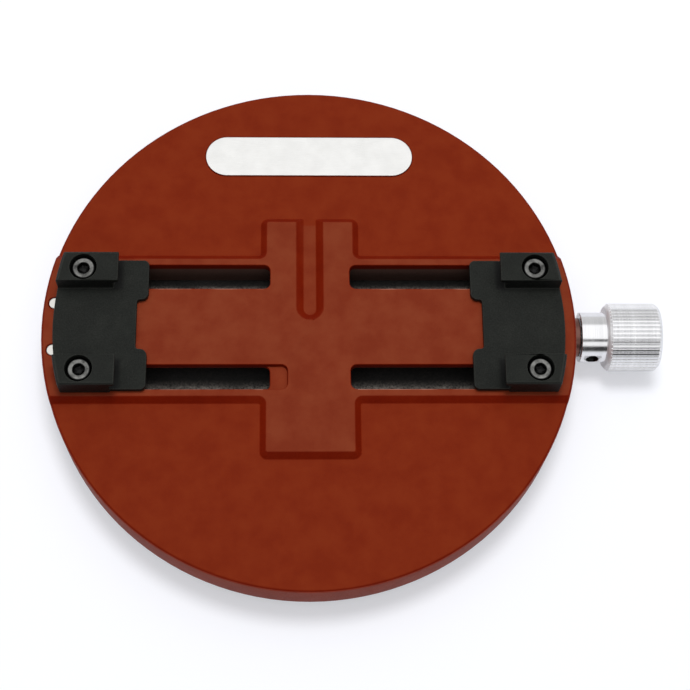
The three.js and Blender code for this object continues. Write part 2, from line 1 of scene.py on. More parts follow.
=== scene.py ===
"""A round vise for circuit boards: a red stone base, two black jaws and one knurled knob on the rim.

Metres, +Z up, +X towards the knob, +Y to the back. The origin is the centre of the base's underside.
"""

import math

import bmesh
import bpy
import numpy as np
from mathutils import Matrix, Vector


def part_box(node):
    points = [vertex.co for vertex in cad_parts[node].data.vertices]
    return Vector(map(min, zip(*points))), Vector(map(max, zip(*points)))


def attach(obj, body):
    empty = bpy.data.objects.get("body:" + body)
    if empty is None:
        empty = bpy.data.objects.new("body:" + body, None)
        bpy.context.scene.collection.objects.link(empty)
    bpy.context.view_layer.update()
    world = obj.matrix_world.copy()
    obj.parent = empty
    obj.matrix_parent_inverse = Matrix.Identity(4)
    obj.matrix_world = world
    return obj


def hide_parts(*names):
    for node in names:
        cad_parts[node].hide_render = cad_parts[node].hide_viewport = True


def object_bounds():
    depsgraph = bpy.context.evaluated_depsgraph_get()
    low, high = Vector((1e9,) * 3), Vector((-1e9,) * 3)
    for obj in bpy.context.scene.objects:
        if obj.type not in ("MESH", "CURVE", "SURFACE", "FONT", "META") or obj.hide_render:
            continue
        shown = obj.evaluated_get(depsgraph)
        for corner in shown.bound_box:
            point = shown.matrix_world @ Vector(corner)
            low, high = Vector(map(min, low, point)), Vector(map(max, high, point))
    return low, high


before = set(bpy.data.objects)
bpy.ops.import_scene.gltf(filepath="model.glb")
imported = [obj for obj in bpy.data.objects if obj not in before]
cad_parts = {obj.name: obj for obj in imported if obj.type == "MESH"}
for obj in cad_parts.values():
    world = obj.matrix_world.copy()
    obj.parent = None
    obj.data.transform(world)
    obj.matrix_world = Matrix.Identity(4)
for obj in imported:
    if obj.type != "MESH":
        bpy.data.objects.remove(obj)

cad_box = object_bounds()
MM = 0.001


# Camera
# A long lens above the front edge, turned a little about its own axis, as the vise was photographed.
# Its place and turn were fitted to the rim's ellipse and to the slots.
LENS = 84.135
SENSOR = 36.0
CAMERA_PLACE = Vector((-3.475, -109.026, 290.928)) * MM
CAMERA_RIGHT = Vector((0.999451, -0.012130, 0.030838))
CAMERA_BACK = Vector((-0.033134, -0.350665, 0.935915))

lens = bpy.data.cameras.new("camera")
lens.lens = LENS
lens.sensor_width = SENSOR
camera = bpy.data.objects.new("camera", lens)
bpy.context.scene.collection.objects.link(camera)
camera_up = CAMERA_BACK.cross(CAMERA_RIGHT).normalized()
turn = Matrix((CAMERA_RIGHT.normalized(), camera_up, CAMERA_BACK.normalized())).transposed()
camera.matrix_world = Matrix.Translation(CAMERA_PLACE) @ turn.to_4x4()
bpy.context.scene.camera = camera
bpy.context.scene.view_settings.view_transform = "Standard"


# Floor
# A plain pale table top under the rubber feet, wide enough to fill the view from every side.
# It keeps the vise's shadow, and lifts towards white where the camera or polished metal sees it.
FLOOR_REACH = 4.0
FLOOR_COLOUR = (0.54, 0.55, 0.58, 1.0)
FLOOR_GLOW = (0.95, 0.96, 1.0, 1.0)
FLOOR_LIFT = 0.44
FLOOR_SHINE = 0.30
FLOOR_ROUGHNESS = 0.9
FLOOR_GLOSS = 0.1


def new_material(name, **values):
    """A material with its Principled shader's own sockets set to the given values, by socket name."""
    material = bpy.data.materials.new(name)
    material.use_nodes = True
    shader = material.node_tree.nodes["Principled BSDF"]
    for socket, value in values.items():
        shader.inputs[socket.replace("_", " ")].default_value = value
    return material, material.node_tree, shader


def feed(tree, socket, value):
    """Feeds a node's input: another node's output is linked to it, and a plain value is set."""
    if isinstance(value, bpy.types.NodeSocket):
        tree.links.new(value, socket)
    else:
        socket.default_value = value


def add_node(tree, kind, group=None, **inputs):
    """A node of that kind, or one that holds the given group, with its inputs fed by name."""
    node = tree.nodes.new(kind)
    if group:
        node.node_tree = group
    for name, value in inputs.items():
        feed(tree, node.inputs[name.replace("_", " ")], value)
    return node


def math_node(tree, operation, *values, kind="ShaderNodeMath"):
    """The output of one sum, product or other operation on the given values or sockets."""
    node = tree.nodes.new(kind)
    node.operation = operation
    for socket, value in zip([socket for socket in node.inputs if socket.enabled], values):
        feed(tree, socket, value)
    return next(socket for socket in node.outputs if socket.enabled)


def vector_node(tree, operation, *values):
    """The output of one operation on vectors."""
    return math_node(tree, operation, *values, kind="ShaderNodeVectorMath")


floor_z = cad_box[0][2]
floor_mesh = bpy.data.meshes.new("floor")
corners = [(x * FLOOR_REACH, y * FLOOR_REACH, floor_z) for x, y in ((-1, -1), (1, -1), (1, 1), (-1, 1))]
floor_mesh.from_pydata(corners, [], [(0, 1, 2, 3)])
floor = bpy.data.objects.new("floor", floor_mesh)
bpy.context.scene.collection.objects.link(floor)

table, tree, shader = new_material("pale_table", Base_Color=FLOOR_COLOUR, Roughness=FLOOR_ROUGHNESS,
                                   Specular_IOR_Level=FLOOR_GLOSS)
shader.inputs["Emission Color"].default_value = FLOOR_GLOW
ray = tree.nodes.new("ShaderNodeLightPath")
direct = math_node(tree, "ADD", ray.outputs["Is Camera Ray"], ray.outputs["Is Transmission Ray"])
mirrored = math_node(tree, "MULTIPLY", ray.outputs["Is Glossy Ray"], FLOOR_SHINE)
lift = math_node(tree, "MULTIPLY_ADD", direct, FLOOR_LIFT, mirrored)
tree.links.new(lift, shader.inputs["Emission Strength"])
floor_mesh.materials.append(table)


# Light
# A bright ceiling, dim side walls and a dark band in front light the vise; the bands show in its metal.
# One soft lamp almost overhead, a little to the back, throws the short shadows to the front.
LEANS = (
    (-90.0, 0.80),
    (-44.0, 0.72),
    (-36.0, 1.35),
    (27.0, 1.35),
    (29.5, 0.18),
    (39.5, 0.18),
    (42.0, 1.25),
    (60.0, 1.15),
    (64.0, 0.04),
    (84.0, 0.04),
    (88.0, 0.50),
    (90.0, 0.50),
)
SIDE_WALL = 0.22
SIDE_SHINE = 1.0
CEILING_HALF_WIDTH = 0.34
WALL_START = 0.66
SKY_STRENGTH = 0.86
SKY_WHITE = (1.0, 1.0, 1.0, 1.0)
LAMP_PLACE = (0.015, 0.130, 0.645)
LAMP_SIZE = 0.20
LAMP_POWER = 2.2


def steps_of(tree, value, low, high, stops):
    """A grey level that runs through the given (value, level) stops as the value socket runs from low to
    high. Levels over 1 are kept by halving them in the ramp and doubling the result."""
    share = add_node(tree, "ShaderNodeMapRange", Value=value, From_Min=low, From_Max=high)
    ramp = add_node(tree, "ShaderNodeValToRGB", Fac=share.outputs["Result"])
    for i, (place, level) in enumerate(stops):
        share_here = (place - low) / (high - low)
        stop = ramp.color_ramp.elements[i] if i < 2 else ramp.color_ramp.elements.new(share_here)
        stop.position = share_here
        stop.color = (level / 2, level / 2, level / 2, 1.0)
    return math_node(tree, "MULTIPLY", ramp.outputs["Color"], 2.0)


world = bpy.data.worlds.new("room")
bpy.context.scene.world = world
world.use_nodes = True
tree = world.node_tree
tree.nodes.clear()
direction = tree.nodes.new("ShaderNodeTexCoord").outputs["Generated"]
axes = add_node(tree, "ShaderNodeSeparateXYZ", Vector=direction)
to_front = math_node(tree, "MULTIPLY", axes.outputs["Y"], -1.0)
lean = math_node(tree, "ARCTAN2", to_front, axes.outputs["Z"])
degrees = math_node(tree, "DEGREES", lean)
over = steps_of(tree, degrees, LEANS[0][0], LEANS[-1][0], LEANS)
aside = math_node(tree, "ABSOLUTE", axes.outputs["X"])
ray = tree.nodes.new("ShaderNodeLightPath")
wall = math_node(tree, "MULTIPLY_ADD", ray.outputs["Is Glossy Ray"], SIDE_SHINE - SIDE_WALL, SIDE_WALL)
walls = add_node(tree, "ShaderNodeMapRange", Value=aside, From_Min=CEILING_HALF_WIDTH, From_Max=WALL_START,
                 To_Min=1.0, To_Max=wall)
level = math_node(tree, "MULTIPLY", over, walls.outputs["Result"])
sky = add_node(tree, "ShaderNodeBackground", Strength=math_node(tree, "MULTIPLY", level, SKY_STRENGTH))
sky.inputs["Color"].default_value = SKY_WHITE
white = add_node(tree, "ShaderNodeBackground", Color=SKY_WHITE, Strength=1.0)
mix = add_node(tree, "ShaderNodeMixShader", Fac=ray.outputs["Is Camera Ray"])
tree.links.new(sky.outputs[0], mix.inputs[1])
tree.links.new(white.outputs[0], mix.inputs[2])
out = tree.nodes.new("ShaderNodeOutputWorld")
tree.links.new(mix.outputs[0], out.inputs["Surface"])

lamp_data = bpy.data.lights.new("back_lamp", "AREA")
lamp_data.shape = "DISK"
lamp_data.size = LAMP_SIZE
lamp_data.energy = LAMP_POWER
lamp = bpy.data.objects.new("back_lamp", lamp_data)
lamp.location = LAMP_PLACE
lamp.rotation_euler = Vector(LAMP_PLACE).to_track_quat("Z", "Y").to_euler()
lamp.visible_glossy = False
bpy.context.scene.collection.objects.link(lamp)


# Base
# A disc of pressed synthetic stone, milled from above: the raised cross, four slots, a groove and a step.
# It is the fixed solid itself, with every machined edge broken by a fine round.
BASE_EDGE = 0.17 * MM
EDGE_ANGLE = math.radians(25)
MERGE_DISTANCE = 1e-6
FLAT_ANGLE = math.radians(0.5)
NOISE_LOW = 0.3
NOISE_HIGH = 0.7
STONE_DARK = (0.130, 0.0062, 0.0004, 1.0)
STONE_BODY = (0.152, 0.0080, 0.0006, 1.0)
STONE_PALE = (0.174, 0.0115, 0.0012, 1.0)
STONE_REDS = (STONE_DARK, STONE_BODY, STONE_PALE)
SLOW_STOPS = (0.36, 0.5, 0.64)
FINE_STOPS = (0.25, 0.5, 0.75)
FINE_SHARE = 0.5
STONE_GRAIN = 0.3
STONE_GLOSS = 0.06
STONE_ROUGH = (0.42, 0.6)
STONE_RELIEF = 0.012 * MM
STONE_RELIEF_SHARE = 0.6
# Faces turned up are painted paler, partly from wear and partly as a painted sheen from the bright ceiling;
# the raised cross a little more so.
RUBBED_SHEEN_LOW = (0.200, 0.0270, 0.0060, 1.0)
RUBBED_SHEEN_HIGH = (0.215, 0.0470, 0.0185, 1.0)
# The rim is painted paler still, as a painted highlight.
RIM_PAINTED_HIGHLIGHT = (0.310, 0.0520, 0.0280, 1.0)
RIM_HIGHLIGHT_SHARE = 0.3
SHEEN_SLOPES = (0.80, 0.99)
WEAR_SHEEN_NOISE = (0.35, 0.65)
WEAR_SHEEN_SHARES = (0.42, 0.68)
# Inside the pocket, and low in the slots, the stone is painted a greyer red.
STONE_POCKET_GREY = (0.135, 0.078, 0.062, 1.0)
# Pale colour on the slots' front lips: partly chipped stone, partly a painted highlight where the lips catch
# the light.
STONE_CHIPS_AND_HIGHLIGHT = (0.400, 0.190, 0.140, 1.0)
CHIP_HIGHLIGHT_NOISE = (0.42, 0.62)
EDGE_CHIPS_AND_HIGHLIGHT = 0.8
LOW_FACE = 8.7
LOW_FACE_MARGIN = 0.3
HIGH_FACE = 10.0
POCKET_MIDDLE = (0.0, 0.0, 4.25)
POCKET_REACH = (46.4, 12.8, 3.85)
POCKET_SOFT = 0.7
RIM_REACH = 49.85
MILLED_MIDDLE = (0.0, 0.0, 8.9)
MILLED_REACH = (8.0, 21.2, 0.6)
MILLED_SOFT = 0.2
MILLED_SHARE = 0.7
LIP_MIDDLE = (26.75, 10.0, 10.0)
LIP_REACH = (18.0, 2.75, 0.3)
LIP_SOFT = 0.05
ACROSS_REACH = 13.0
LIPS_ACROSS = (
    (-12.9, 1.0),
    (-12.1, 1.0),
    (-11.9, 0.0),
    (7.1, 0.0),
    (7.3, 1.0),
    (7.8, 1.0),
    (8.0, 0.0),
)


def eased_copy(name, node, edge, body, worn, segments=3):
    """A node's solid as a new object: its loose triangles are merged, flat regions joined into single
    faces, and every sharp edge is rounded to the given width. Faces wear the body material and edges the
    worn one."""
    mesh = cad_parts[node].data.copy()
    work = bmesh.new()
    work.from_mesh(mesh)
    bmesh.ops.remove_doubles(work, verts=work.verts, dist=MERGE_DISTANCE)
    bmesh.ops.dissolve_limit(work, angle_limit=FLAT_ANGLE, verts=work.verts, edges=work.edges)
    for face in work.faces:
        face.smooth = True
    work.to_mesh(mesh)
    work.free()
    mesh.materials.clear()
    mesh.materials.append(body)
    mesh.materials.append(worn)
    piece = bpy.data.objects.new(name, mesh)
    bpy.context.scene.collection.objects.link(piece)
    bevel = piece.modifiers.new("eased_edges", "BEVEL")
    bevel.limit_method = "ANGLE"
    bevel.angle_limit = EDGE_ANGLE
    bevel.width = edge
    bevel.segments = segments
    bevel.use_clamp_overlap = False
    bevel.harden_normals = True
    bevel.miter_outer = "MITER_ARC"
    bevel.material = 1
    return piece


def new_group(name, vectors, floats, outputs):
    """An empty shader group with its named vector and float inputs and float outputs, and the sockets of its
    two end nodes."""
    group = bpy.data.node_groups.new(name, "ShaderNodeTree")
    wanted = ((vectors, "INPUT", "Vector"), (floats, "INPUT", "Float"), (outputs, "OUTPUT", "Float"))
    for sockets, way, kind in wanted:
        for socket in sockets:
            group.interface.new_socket(socket, in_out=way, socket_type="NodeSocket" + kind)
    return group, group.nodes.new("NodeGroupInput").outputs, group.nodes.new("NodeGroupOutput").inputs


def grain_group():
    """Grain in three sizes, from noise in millimetres: Cloud drifts over several millimetres, Grain is the
    pressed grit, Fleck picks single specks, and Height joins grain and flecks for a bump."""
    group, given, result = new_group("pressed_grain", ["Vector"], ["Grain Size"],
                                     ["Cloud", "Grain", "Fleck", "Height"])
    finer = math_node(group, "DIVIDE", 1.0, given["Grain Size"])
    place = vector_node(group, "SCALE", given["Vector"], finer)
    cloud = add_node(group, "ShaderNodeTexNoise", Vector=place, Scale=0.07, Detail=4.0, Roughness=0.55)
    grain = add_node(group, "ShaderNodeTexNoise", Vector=place, Scale=0.9, Detail=3.0, Roughness=0.6)
    fleck = add_node(group, "ShaderNodeTexVoronoi", Vector=place, Scale=0.45)
    near = add_node(group, "ShaderNodeMapRange", Value=fleck.outputs["Distance"], From_Min=0.08, From_Max=0.2,
                    To_Min=1.0, To_Max=0.0).outputs["Result"]
    feed(group, result["Cloud"], cloud.outputs["Fac"])
    feed(group, result["Grain"], grain.outputs["Fac"])
    feed(group, result["Fleck"], near)
    feed(group, result["Height"], math_node(group, "SUBTRACT", grain.outputs["Fac"], near))
    return group


def soft_box_group():
    """A mask of the boxes round the places that mirror a middle in X and Y. Along each axis it is half size
    less distance from the middle, over the soft distance, plus a half, held to 0 and 1; the three are
    multiplied."""
    group, given, result = new_group("soft_box", ["Vector", "Middle", "Reach"], ["Soft"], ["Mask"])
    mirrored = vector_node(group, "ABSOLUTE", given["Vector"])
    away = vector_node(group, "ABSOLUTE", vector_node(group, "SUBTRACT", mirrored, given["Middle"]))
    inside = vector_node(group, "SUBTRACT", given["Reach"], away)
    share = vector_node(group, "SCALE", inside, math_node(group, "DIVIDE", 1.0, given["Soft"]))
    parts = add_node(group, "ShaderNodeSeparateXYZ", Vector=share)
    mask = 1.0
    for axis in "XYZ":
        held = add_node(group, "ShaderNodeClamp", Value=math_node(group, "ADD", parts.outputs[axis], 0.5))
        mask = math_node(group, "MULTIPLY", mask, held.outputs["Result"])
    feed(group, result["Mask"], mask)
    return group


def faces_up_group():
    """A mask of the faces turned up, from 0 to 1 as the upward part of the normal runs from low to high."""
    group, given, result = new_group("faces_up", ["Normal"], ["Low", "High"], ["Mask"])
    parts = add_node(group, "ShaderNodeSeparateXYZ", Vector=given["Normal"])
    upward = add_node(group, "ShaderNodeMapRange", Value=parts.outputs["Z"], From_Min=given["Low"],
                      From_Max=given["High"])
    feed(group, result["Mask"], upward.outputs["Result"])
    return group


GRAIN = grain_group()
SOFT_BOX = soft_box_group()
FACES_UP = faces_up_group()


def place_in_mm(tree):
    """The piece's own coordinates, in millimetres."""
    return vector_node(tree, "SCALE", tree.nodes.new("ShaderNodeTexCoord").outputs["Object"], 1.0 / MM)


def grain_of(tree, size):
    """The grain group placed in a material, for grit of the given size in millimetres."""
    return add_node(tree, "ShaderNodeGroup", GRAIN, Vector=place_in_mm(tree), Grain_Size=size)


def within_box(tree, middle, reach, soft):
    """The mask of the boxes of the given middle and half sizes in mm, with soft sides."""
    return add_node(tree, "ShaderNodeGroup", SOFT_BOX, Vector=place_in_mm(tree), Middle=middle, Reach=reach,
                    Soft=soft).outputs["Mask"]


def faces_up(tree, low, high):
    """The mask of the piece's faces turned up."""
    normal = tree.nodes.new("ShaderNodeTexCoord").outputs["Normal"]
    return add_node(tree, "ShaderNodeGroup", FACES_UP, Normal=normal, Low=low, High=high).outputs["Mask"]


def colours_by(tree, socket, *stops):
    """A colour ramp driven by a value socket. Each stop is (value, colour)."""
    node = add_node(tree, "ShaderNodeValToRGB", Fac=socket)
    for i, (place, colour) in enumerate(stops):
        stop = node.color_ramp.elements[i] if i < 2 else node.color_ramp.elements.new(place)
        stop.position = place
        stop.color = colour
    return node.outputs["Color"]


# Places of the colour sockets on a Mix node
MIX_FACTOR, MIX_FIRST, MIX_SECOND, MIX_RESULT = 0, 6, 7, 2


def blend_colours(tree, fac, first, second):
    """Two colours mixed by a mask or a number."""
    node = tree.nodes.new("ShaderNodeMix")
    node.data_type = "RGBA"
    for index, value in ((MIX_FACTOR, fac), (MIX_FIRST, first), (MIX_SECOND, second)):
        feed(tree, node.inputs[index], value)
    return node.outputs[MIX_RESULT]


def bump(tree, shader, height, depth, strength=1.0):
    """Bumps the shader's normal by a height socket, over the given depth in metres."""
    node = add_node(tree, "ShaderNodeBump", Height=height, Distance=depth, Strength=strength)
    tree.links.new(node.outputs["Normal"], shader.inputs["Normal"])


def rough_by(tree, shader, socket, low, high):
    """Roughness that runs from low to high as a value socket runs over the usual reach of noise."""
    node = add_node(tree, "ShaderNodeMapRange", Value=socket, From_Min=NOISE_LOW, From_Max=NOISE_HIGH,
                    To_Min=low, To_Max=high)
    tree.links.new(node.outputs[0], shader.inputs["Roughness"])


def stone_material(name, chip_and_highlight_share):
    """Pressed stone: a slow drift and a fine grain between three reds. Faces turned up are paler, partly from
    wear and partly as a painted sheen, and the rim is paler still as a painted highlight. Inside the pocket,
    low in the slots too, the stone is a greyer red. The slots' front lips are chipped here and there, by the
    given strength, and the chipped colour along them is partly a painted highlight."""
    material, tree, shader = new_material(name, Specular_IOR_Level=STONE_GLOSS)
    grit = grain_of(tree, STONE_GRAIN)
    slow = colours_by(tree, grit.outputs["Cloud"], *zip(SLOW_STOPS, STONE_REDS))
    fine = colours_by(tree, grit.outputs["Grain"], *zip(FINE_STOPS, STONE_REDS))
    body = blend_colours(tree, FINE_SHARE, slow, fine)
    here = add_node(tree, "ShaderNodeSeparateXYZ", Vector=place_in_mm(tree))
    height = here.outputs["Z"]
    raised = add_node(tree, "ShaderNodeMapRange", Value=height, From_Min=LOW_FACE + LOW_FACE_MARGIN,
                      From_Max=HIGH_FACE)
    cut_low = within_box(tree, MILLED_MIDDLE, MILLED_REACH, MILLED_SOFT)
    milled = math_node(tree, "MULTIPLY", cut_low, MILLED_SHARE)
    flattened = math_node(tree, "MAXIMUM", raised.outputs["Result"], milled)
    # Painted sheen, with some wear: paler colours for the faces turned up, lower and raised.
    rubbed_sheen = blend_colours(tree, flattened, RUBBED_SHEEN_LOW, RUBBED_SHEEN_HIGH)
    wear = add_node(tree, "ShaderNodeMapRange", Value=grit.outputs["Cloud"], From_Min=WEAR_SHEEN_NOISE[0],
                    From_Max=WEAR_SHEEN_NOISE[1], To_Min=WEAR_SHEEN_SHARES[0], To_Max=WEAR_SHEEN_SHARES[1])
    squared = [math_node(tree, "POWER", here.outputs[axis], 2.0) for axis in "XY"]
    reach = math_node(tree, "SQRT", math_node(tree, "ADD", *squared))
    # Outside this reach the rim takes the painted highlight.
    at_rim = math_node(tree, "GREATER_THAN", reach, RIM_REACH)
    # The faces turned up, and the rim, take the painted sheen and highlight by this mask.
    sheen_and_rim = math_node(tree, "MAXIMUM", faces_up(tree, *SHEEN_SLOPES), at_rim)
    share = math_node(tree, "MULTIPLY_ADD", at_rim, RIM_HIGHLIGHT_SHARE, wear.outputs["Result"])
    worn = math_node(tree, "MULTIPLY", sheen_and_rim, share)
    body_with_sheen = blend_colours(tree, worn, body, blend_colours(tree, at_rim, rubbed_sheen, RIM_PAINTED_HIGHLIGHT))
    # A greyer red inside the pocket.
    pocket_grey = within_box(tree, POCKET_MIDDLE, POCKET_REACH, POCKET_SOFT)
    colour = blend_colours(tree, pocket_grey, body_with_sheen, STONE_POCKET_GREY)
    # The front lips, which face the lamp, get pale chipped patches that are partly a painted highlight.
    front_lip = steps_of(tree, here.outputs["Y"], -ACROSS_REACH, ACROSS_REACH, LIPS_ACROSS)
    lip = math_node(tree, "MULTIPLY", within_box(tree, LIP_MIDDLE, LIP_REACH, LIP_SOFT), front_lip)
    patchy = add_node(tree, "ShaderNodeMapRange", Value=grit.outputs["Cloud"], From_Min=CHIP_HIGHLIGHT_NOISE[0],
                      From_Max=CHIP_HIGHLIGHT_NOISE[1], To_Max=chip_and_highlight_share)
    chipped_and_lit = math_node(tree, "MULTIPLY", lip, patchy.outputs["Result"])
    tree.links.new(blend_colours(tree, chipped_and_lit, colour, STONE_CHIPS_AND_HIGHLIGHT), shader.inputs["Base Color"])
    rough_by(tree, shader, grit.outputs["Grain"], *STONE_ROUGH)
    bump(tree, shader, grit.outputs["Height"], STONE_RELIEF, STONE_RELIEF_SHARE)
    return material


STONE = stone_material("red_stone", chip_and_highlight_share=0.0)
STONE_EDGE = stone_material("red_stone_edge", chip_and_highlight_share=EDGE_CHIPS_AND_HIGHLIGHT)
base = eased_copy("stone_base", "base_plate", BASE_EDGE, STONE, STONE_EDGE)
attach(base, "base")
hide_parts("base_plate")


# Cover plate
# A rigid black fibre plate let into the underside, its upper face the floor of the four slots.
# Six countersunk screws hold it. It is the fixed solid itself, its edges barely eased.
COVER_EDGE = 0.08 * MM
FIBRE_BLACK = (0.012, 0.012, 0.012, 1.0)
FIBRE_GREY = (0.022, 0.021, 0.020, 1.0)
# A paler strip across the floor of each slot is partly settled powder with pale specks and partly a painted
# pool of light, where the lamp reaches the floor past the slot's back edge.
FIBRE_DUST_AND_LIGHT = (0.250, 0.225, 0.200, 1.0)
FIBRE_SPECK = (0.36, 0.30, 0.25, 1.0)
FIBRE_TOP = 2.5
FIBRE_TOP_MARGIN = 0.2
FIBRE_NOISE = (0.35, 0.65)
FIBRE_GRAIN = 0.34
FIBRE_GLOSS = 0.2
FIBRE_ROUGH = (0.6, 0.85)
FIBRE_RELIEF = 0.05 * MM
DUST_LIGHT_NOISE = (0.25, 0.65)
DUST_LIGHT_LEAST = 0.25
SPECK_SHARE = 0.35
DUST_AND_LIGHT_ACROSS = (
    (-12.5, 0.3),
    (-10.5, 0.4),
    (-10.1, 1.0),
    (-9.6, 1.0),
    (-9.0, 0.40),
    (-8.0, 0.03),
    (7.6, 0.03),
    (8.2, 0.25),
    (10.1, 0.3),
    (10.5, 1.0),
    (10.9, 0.6),
    (11.3, 0.1),
    (12.5, 0.03),
)

fibre, tree, shader = new_material("black_fibre", Specular_IOR_Level=FIBRE_GLOSS)
grit = grain_of(tree, FIBRE_GRAIN)
body = colours_by(tree, grit.outputs["Grain"], *zip(FIBRE_NOISE, (FIBRE_BLACK, FIBRE_GREY)))
here = add_node(tree, "ShaderNodeSeparateXYZ", Vector=place_in_mm(tree))
# Painted pool of light, with settled powder, in a strip across each slot's floor.
across = steps_of(tree, here.outputs["Y"], -ACROSS_REACH, ACROSS_REACH, DUST_AND_LIGHT_ACROSS)
upper = math_node(tree, "GREATER_THAN", here.outputs["Z"], FIBRE_TOP - FIBRE_TOP_MARGIN)
patchy = add_node(tree, "ShaderNodeMapRange", Value=grit.outputs["Cloud"], From_Min=DUST_LIGHT_NOISE[0],
                  From_Max=DUST_LIGHT_NOISE[1], To_Min=DUST_LIGHT_LEAST)
settled_and_lit = math_node(tree, "MULTIPLY", math_node(tree, "MULTIPLY", across, upper), patchy.outputs["Result"])
dust_and_light_colour = colours_by(tree, grit.outputs["Grain"], (NOISE_LOW, FIBRE_GREY), (NOISE_HIGH, FIBRE_DUST_AND_LIGHT))
specks = math_node(tree, "MULTIPLY", grit.outputs["Fleck"], SPECK_SHARE)
layer = blend_colours(tree, specks, dust_and_light_colour, FIBRE_SPECK)
tree.links.new(blend_colours(tree, settled_and_lit, body, layer), shader.inputs["Base Color"])
rough_by(tree, shader, grit.outputs["Grain"], *FIBRE_ROUGH)
bump(tree, shader, grit.outputs["Height"], FIBRE_RELIEF)
cover = eased_copy("fibre_cover", "cover_plate", COVER_EDGE, fibre, fibre, segments=2)
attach(cover, "base")
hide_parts("cover_plate")


# Cover screws
# Six short countersunk screws of blackened steel, their heads level with the underside.
# Each is turned from bar: a cone under the head, a plain shank and a six-sided key socket.
COVER_HEAD = 2.2
COVER_SHANK = 1.25
COVER_CONE = 1.3
COVER_LENGTH = 6.0
COVER_KEY = 0.75
COVER_KEY_DEPTH = 0.8
COVER_MOUTH = 0.2
COVER_TIP = 0.25
COVER_RIM = 0.06
COVER_EASE = 0.04
KEY_LEAN_STEP = 1.7
KEY_LIP_SHARE = 0.5
KEY_FLOOR_SHARE = 0.98
KEY_FLOOR_ROUND = 0.03
KEY_CONE_SHARE = 0.5
SCREW_STEPS = 48
SKIN_MERGE = 1e-7
EASE_MOST_SHARE = 0.45
OXIDE_DARK = (0.0040, 0.0044, 0.0038, 1.0)
OXIDE_BODY = (0.0079, 0.0091, 0.0074, 1.0)
OXIDE_PALE = (0.0162, 0.0177, 0.0149, 1.0)
OXIDE_WORN = (0.0260, 0.0270, 0.0250, 1.0)
# The sides of blackened steel are painted darker, as shade.
PAINTED_SIDE_SHADE = 0.8
OXIDE_GRAIN = 0.22
OXIDE_GLOSS = 0.2
OXIDE_FINE_STOPS = (0.25, 0.5, 0.8)
OXIDE_SLOW_STOPS = (0.3, 0.5, 0.7)
OXIDE_SLOW_SHARE = 0.3
SIDE_SHADE_SLOPES = (0.3, 0.9)
OXIDE_ROUGH = (0.7, 0.5)
OXIDE_RELIEF = 0.02 * MM
UP = np.array((0.0, 0.0, 1.0))
RIGHT = np.array((1.0, 0.0, 0.0))
BACK = np.array((0.0, 1.0, 0.0))


def skin(name, grid, closed=False):
    """A smooth surface through a grid of points (rows, steps, xyz) whose rows close on themselves: the points
    (i, j), (i, j+1), (i+1, j+1) and (i+1, j) make a face. A closed skin joins its last row to its first, and
    a row drawn into one point becomes a pole. The UV map holds the share of the turn and the length in mm."""
    rows, steps = grid.shape[:2]
    index = np.arange(rows * steps).reshape(rows, steps)
    lower = index if closed else index[:-1]
    upper = np.roll(index, -1, axis=0)[:len(lower)]
    faces = np.stack((lower, np.roll(lower, -1, axis=1), np.roll(upper, -1, axis=1), upper), axis=-1)
    mesh = bpy.data.meshes.new(name)
    mesh.from_pydata(grid.reshape(-1, 3).tolist(), [], faces.reshape(-1, 4).tolist())
    gaps = np.linalg.norm(np.roll(grid[:, 0], -1, axis=0) - grid[:, 0], axis=1) / MM
    along = np.concatenate(((0.0,), np.cumsum(gaps)))
    i, j = np.meshgrid(np.arange(len(lower)), np.arange(steps), indexing="ij")
    turns = np.stack((j, j + 1, j + 1, j), axis=-1) / steps
    lengths = np.stack((along[i], along[i], along[i + 1], along[i + 1]), axis=-1)
    chart = mesh.uv_layers.new(name="surface")
    chart.data.foreach_set("uv", np.stack((turns, lengths), axis=-1).astype(np.float32).ravel())
    work = bmesh.new()
    work.from_mesh(mesh)
    bmesh.ops.remove_doubles(work, verts=work.verts, dist=SKIN_MERGE)
    for face in work.faces:
        face.smooth = True
    work.to_mesh(mesh)
    work.free()
    piece = bpy.data.objects.new(name, mesh)
    bpy.context.scene.collection.objects.link(piece)
    even = piece.modifiers.new("even_shading", "WEIGHTED_NORMAL")
    even.keep_sharp = True
    return piece


def eased(corners, ease, closed=False, steps=4):
    """A profile of (place along the axis, radius) corners, with each corner exchanged for a short curve that
    leaves its two sides at most the given distance away: (1-t)^2 start + 2t(1-t) corner + t^2 end."""
    corners = np.array(corners, dtype=float)
    inner = corners if closed else corners[1:-1]
    before = np.roll(corners, 1, axis=0) if closed else corners[:-2]
    after = np.roll(corners, -1, axis=0) if closed else corners[2:]
    sides = np.stack((before - inner, after - inner))
    lengths = np.linalg.norm(sides, axis=2, keepdims=True)
    start, end = inner + sides / lengths * np.minimum(ease, lengths * EASE_MOST_SHARE)
    t = np.linspace(0, 1, steps)[None, :, None]
    curve = (1 - t) ** 2 * start[:, None] + 2 * t * (1 - t) * inner[:, None] + t ** 2 * end[:, None]
    curve = curve.reshape(-1, 2)
    return curve if closed else np.vstack((corners[:1], curve, corners[-1:]))


def turned(axial, radius, place, along, across):
    """Points of a turned form in metres: row i stands axial[i] along the axis from place, and step j lies
    radius[i, j] away from the axis at j shares of a turn, counted from the across direction."""
    angle = np.linspace(0, 2 * np.pi, radius.shape[1], endpoint=False)[:, None]
    ring = np.cos(angle) * across + np.sin(angle) * np.cross(along, across)
    return (place + axial[:, None, None] * along + radius[:, :, None] * ring) * MM


def six_sided(half_flats, steps, lean):
    """Radius of a hexagon at each step: half its width across flats over the cosine of the angle to the
    middle of the nearest side, the whole turned by the lean in degrees."""
    angle = np.linspace(0, 2 * np.pi, steps, endpoint=False) + math.radians(lean)
    return half_flats / np.cos(angle % (np.pi / 3) - np.pi / 6)


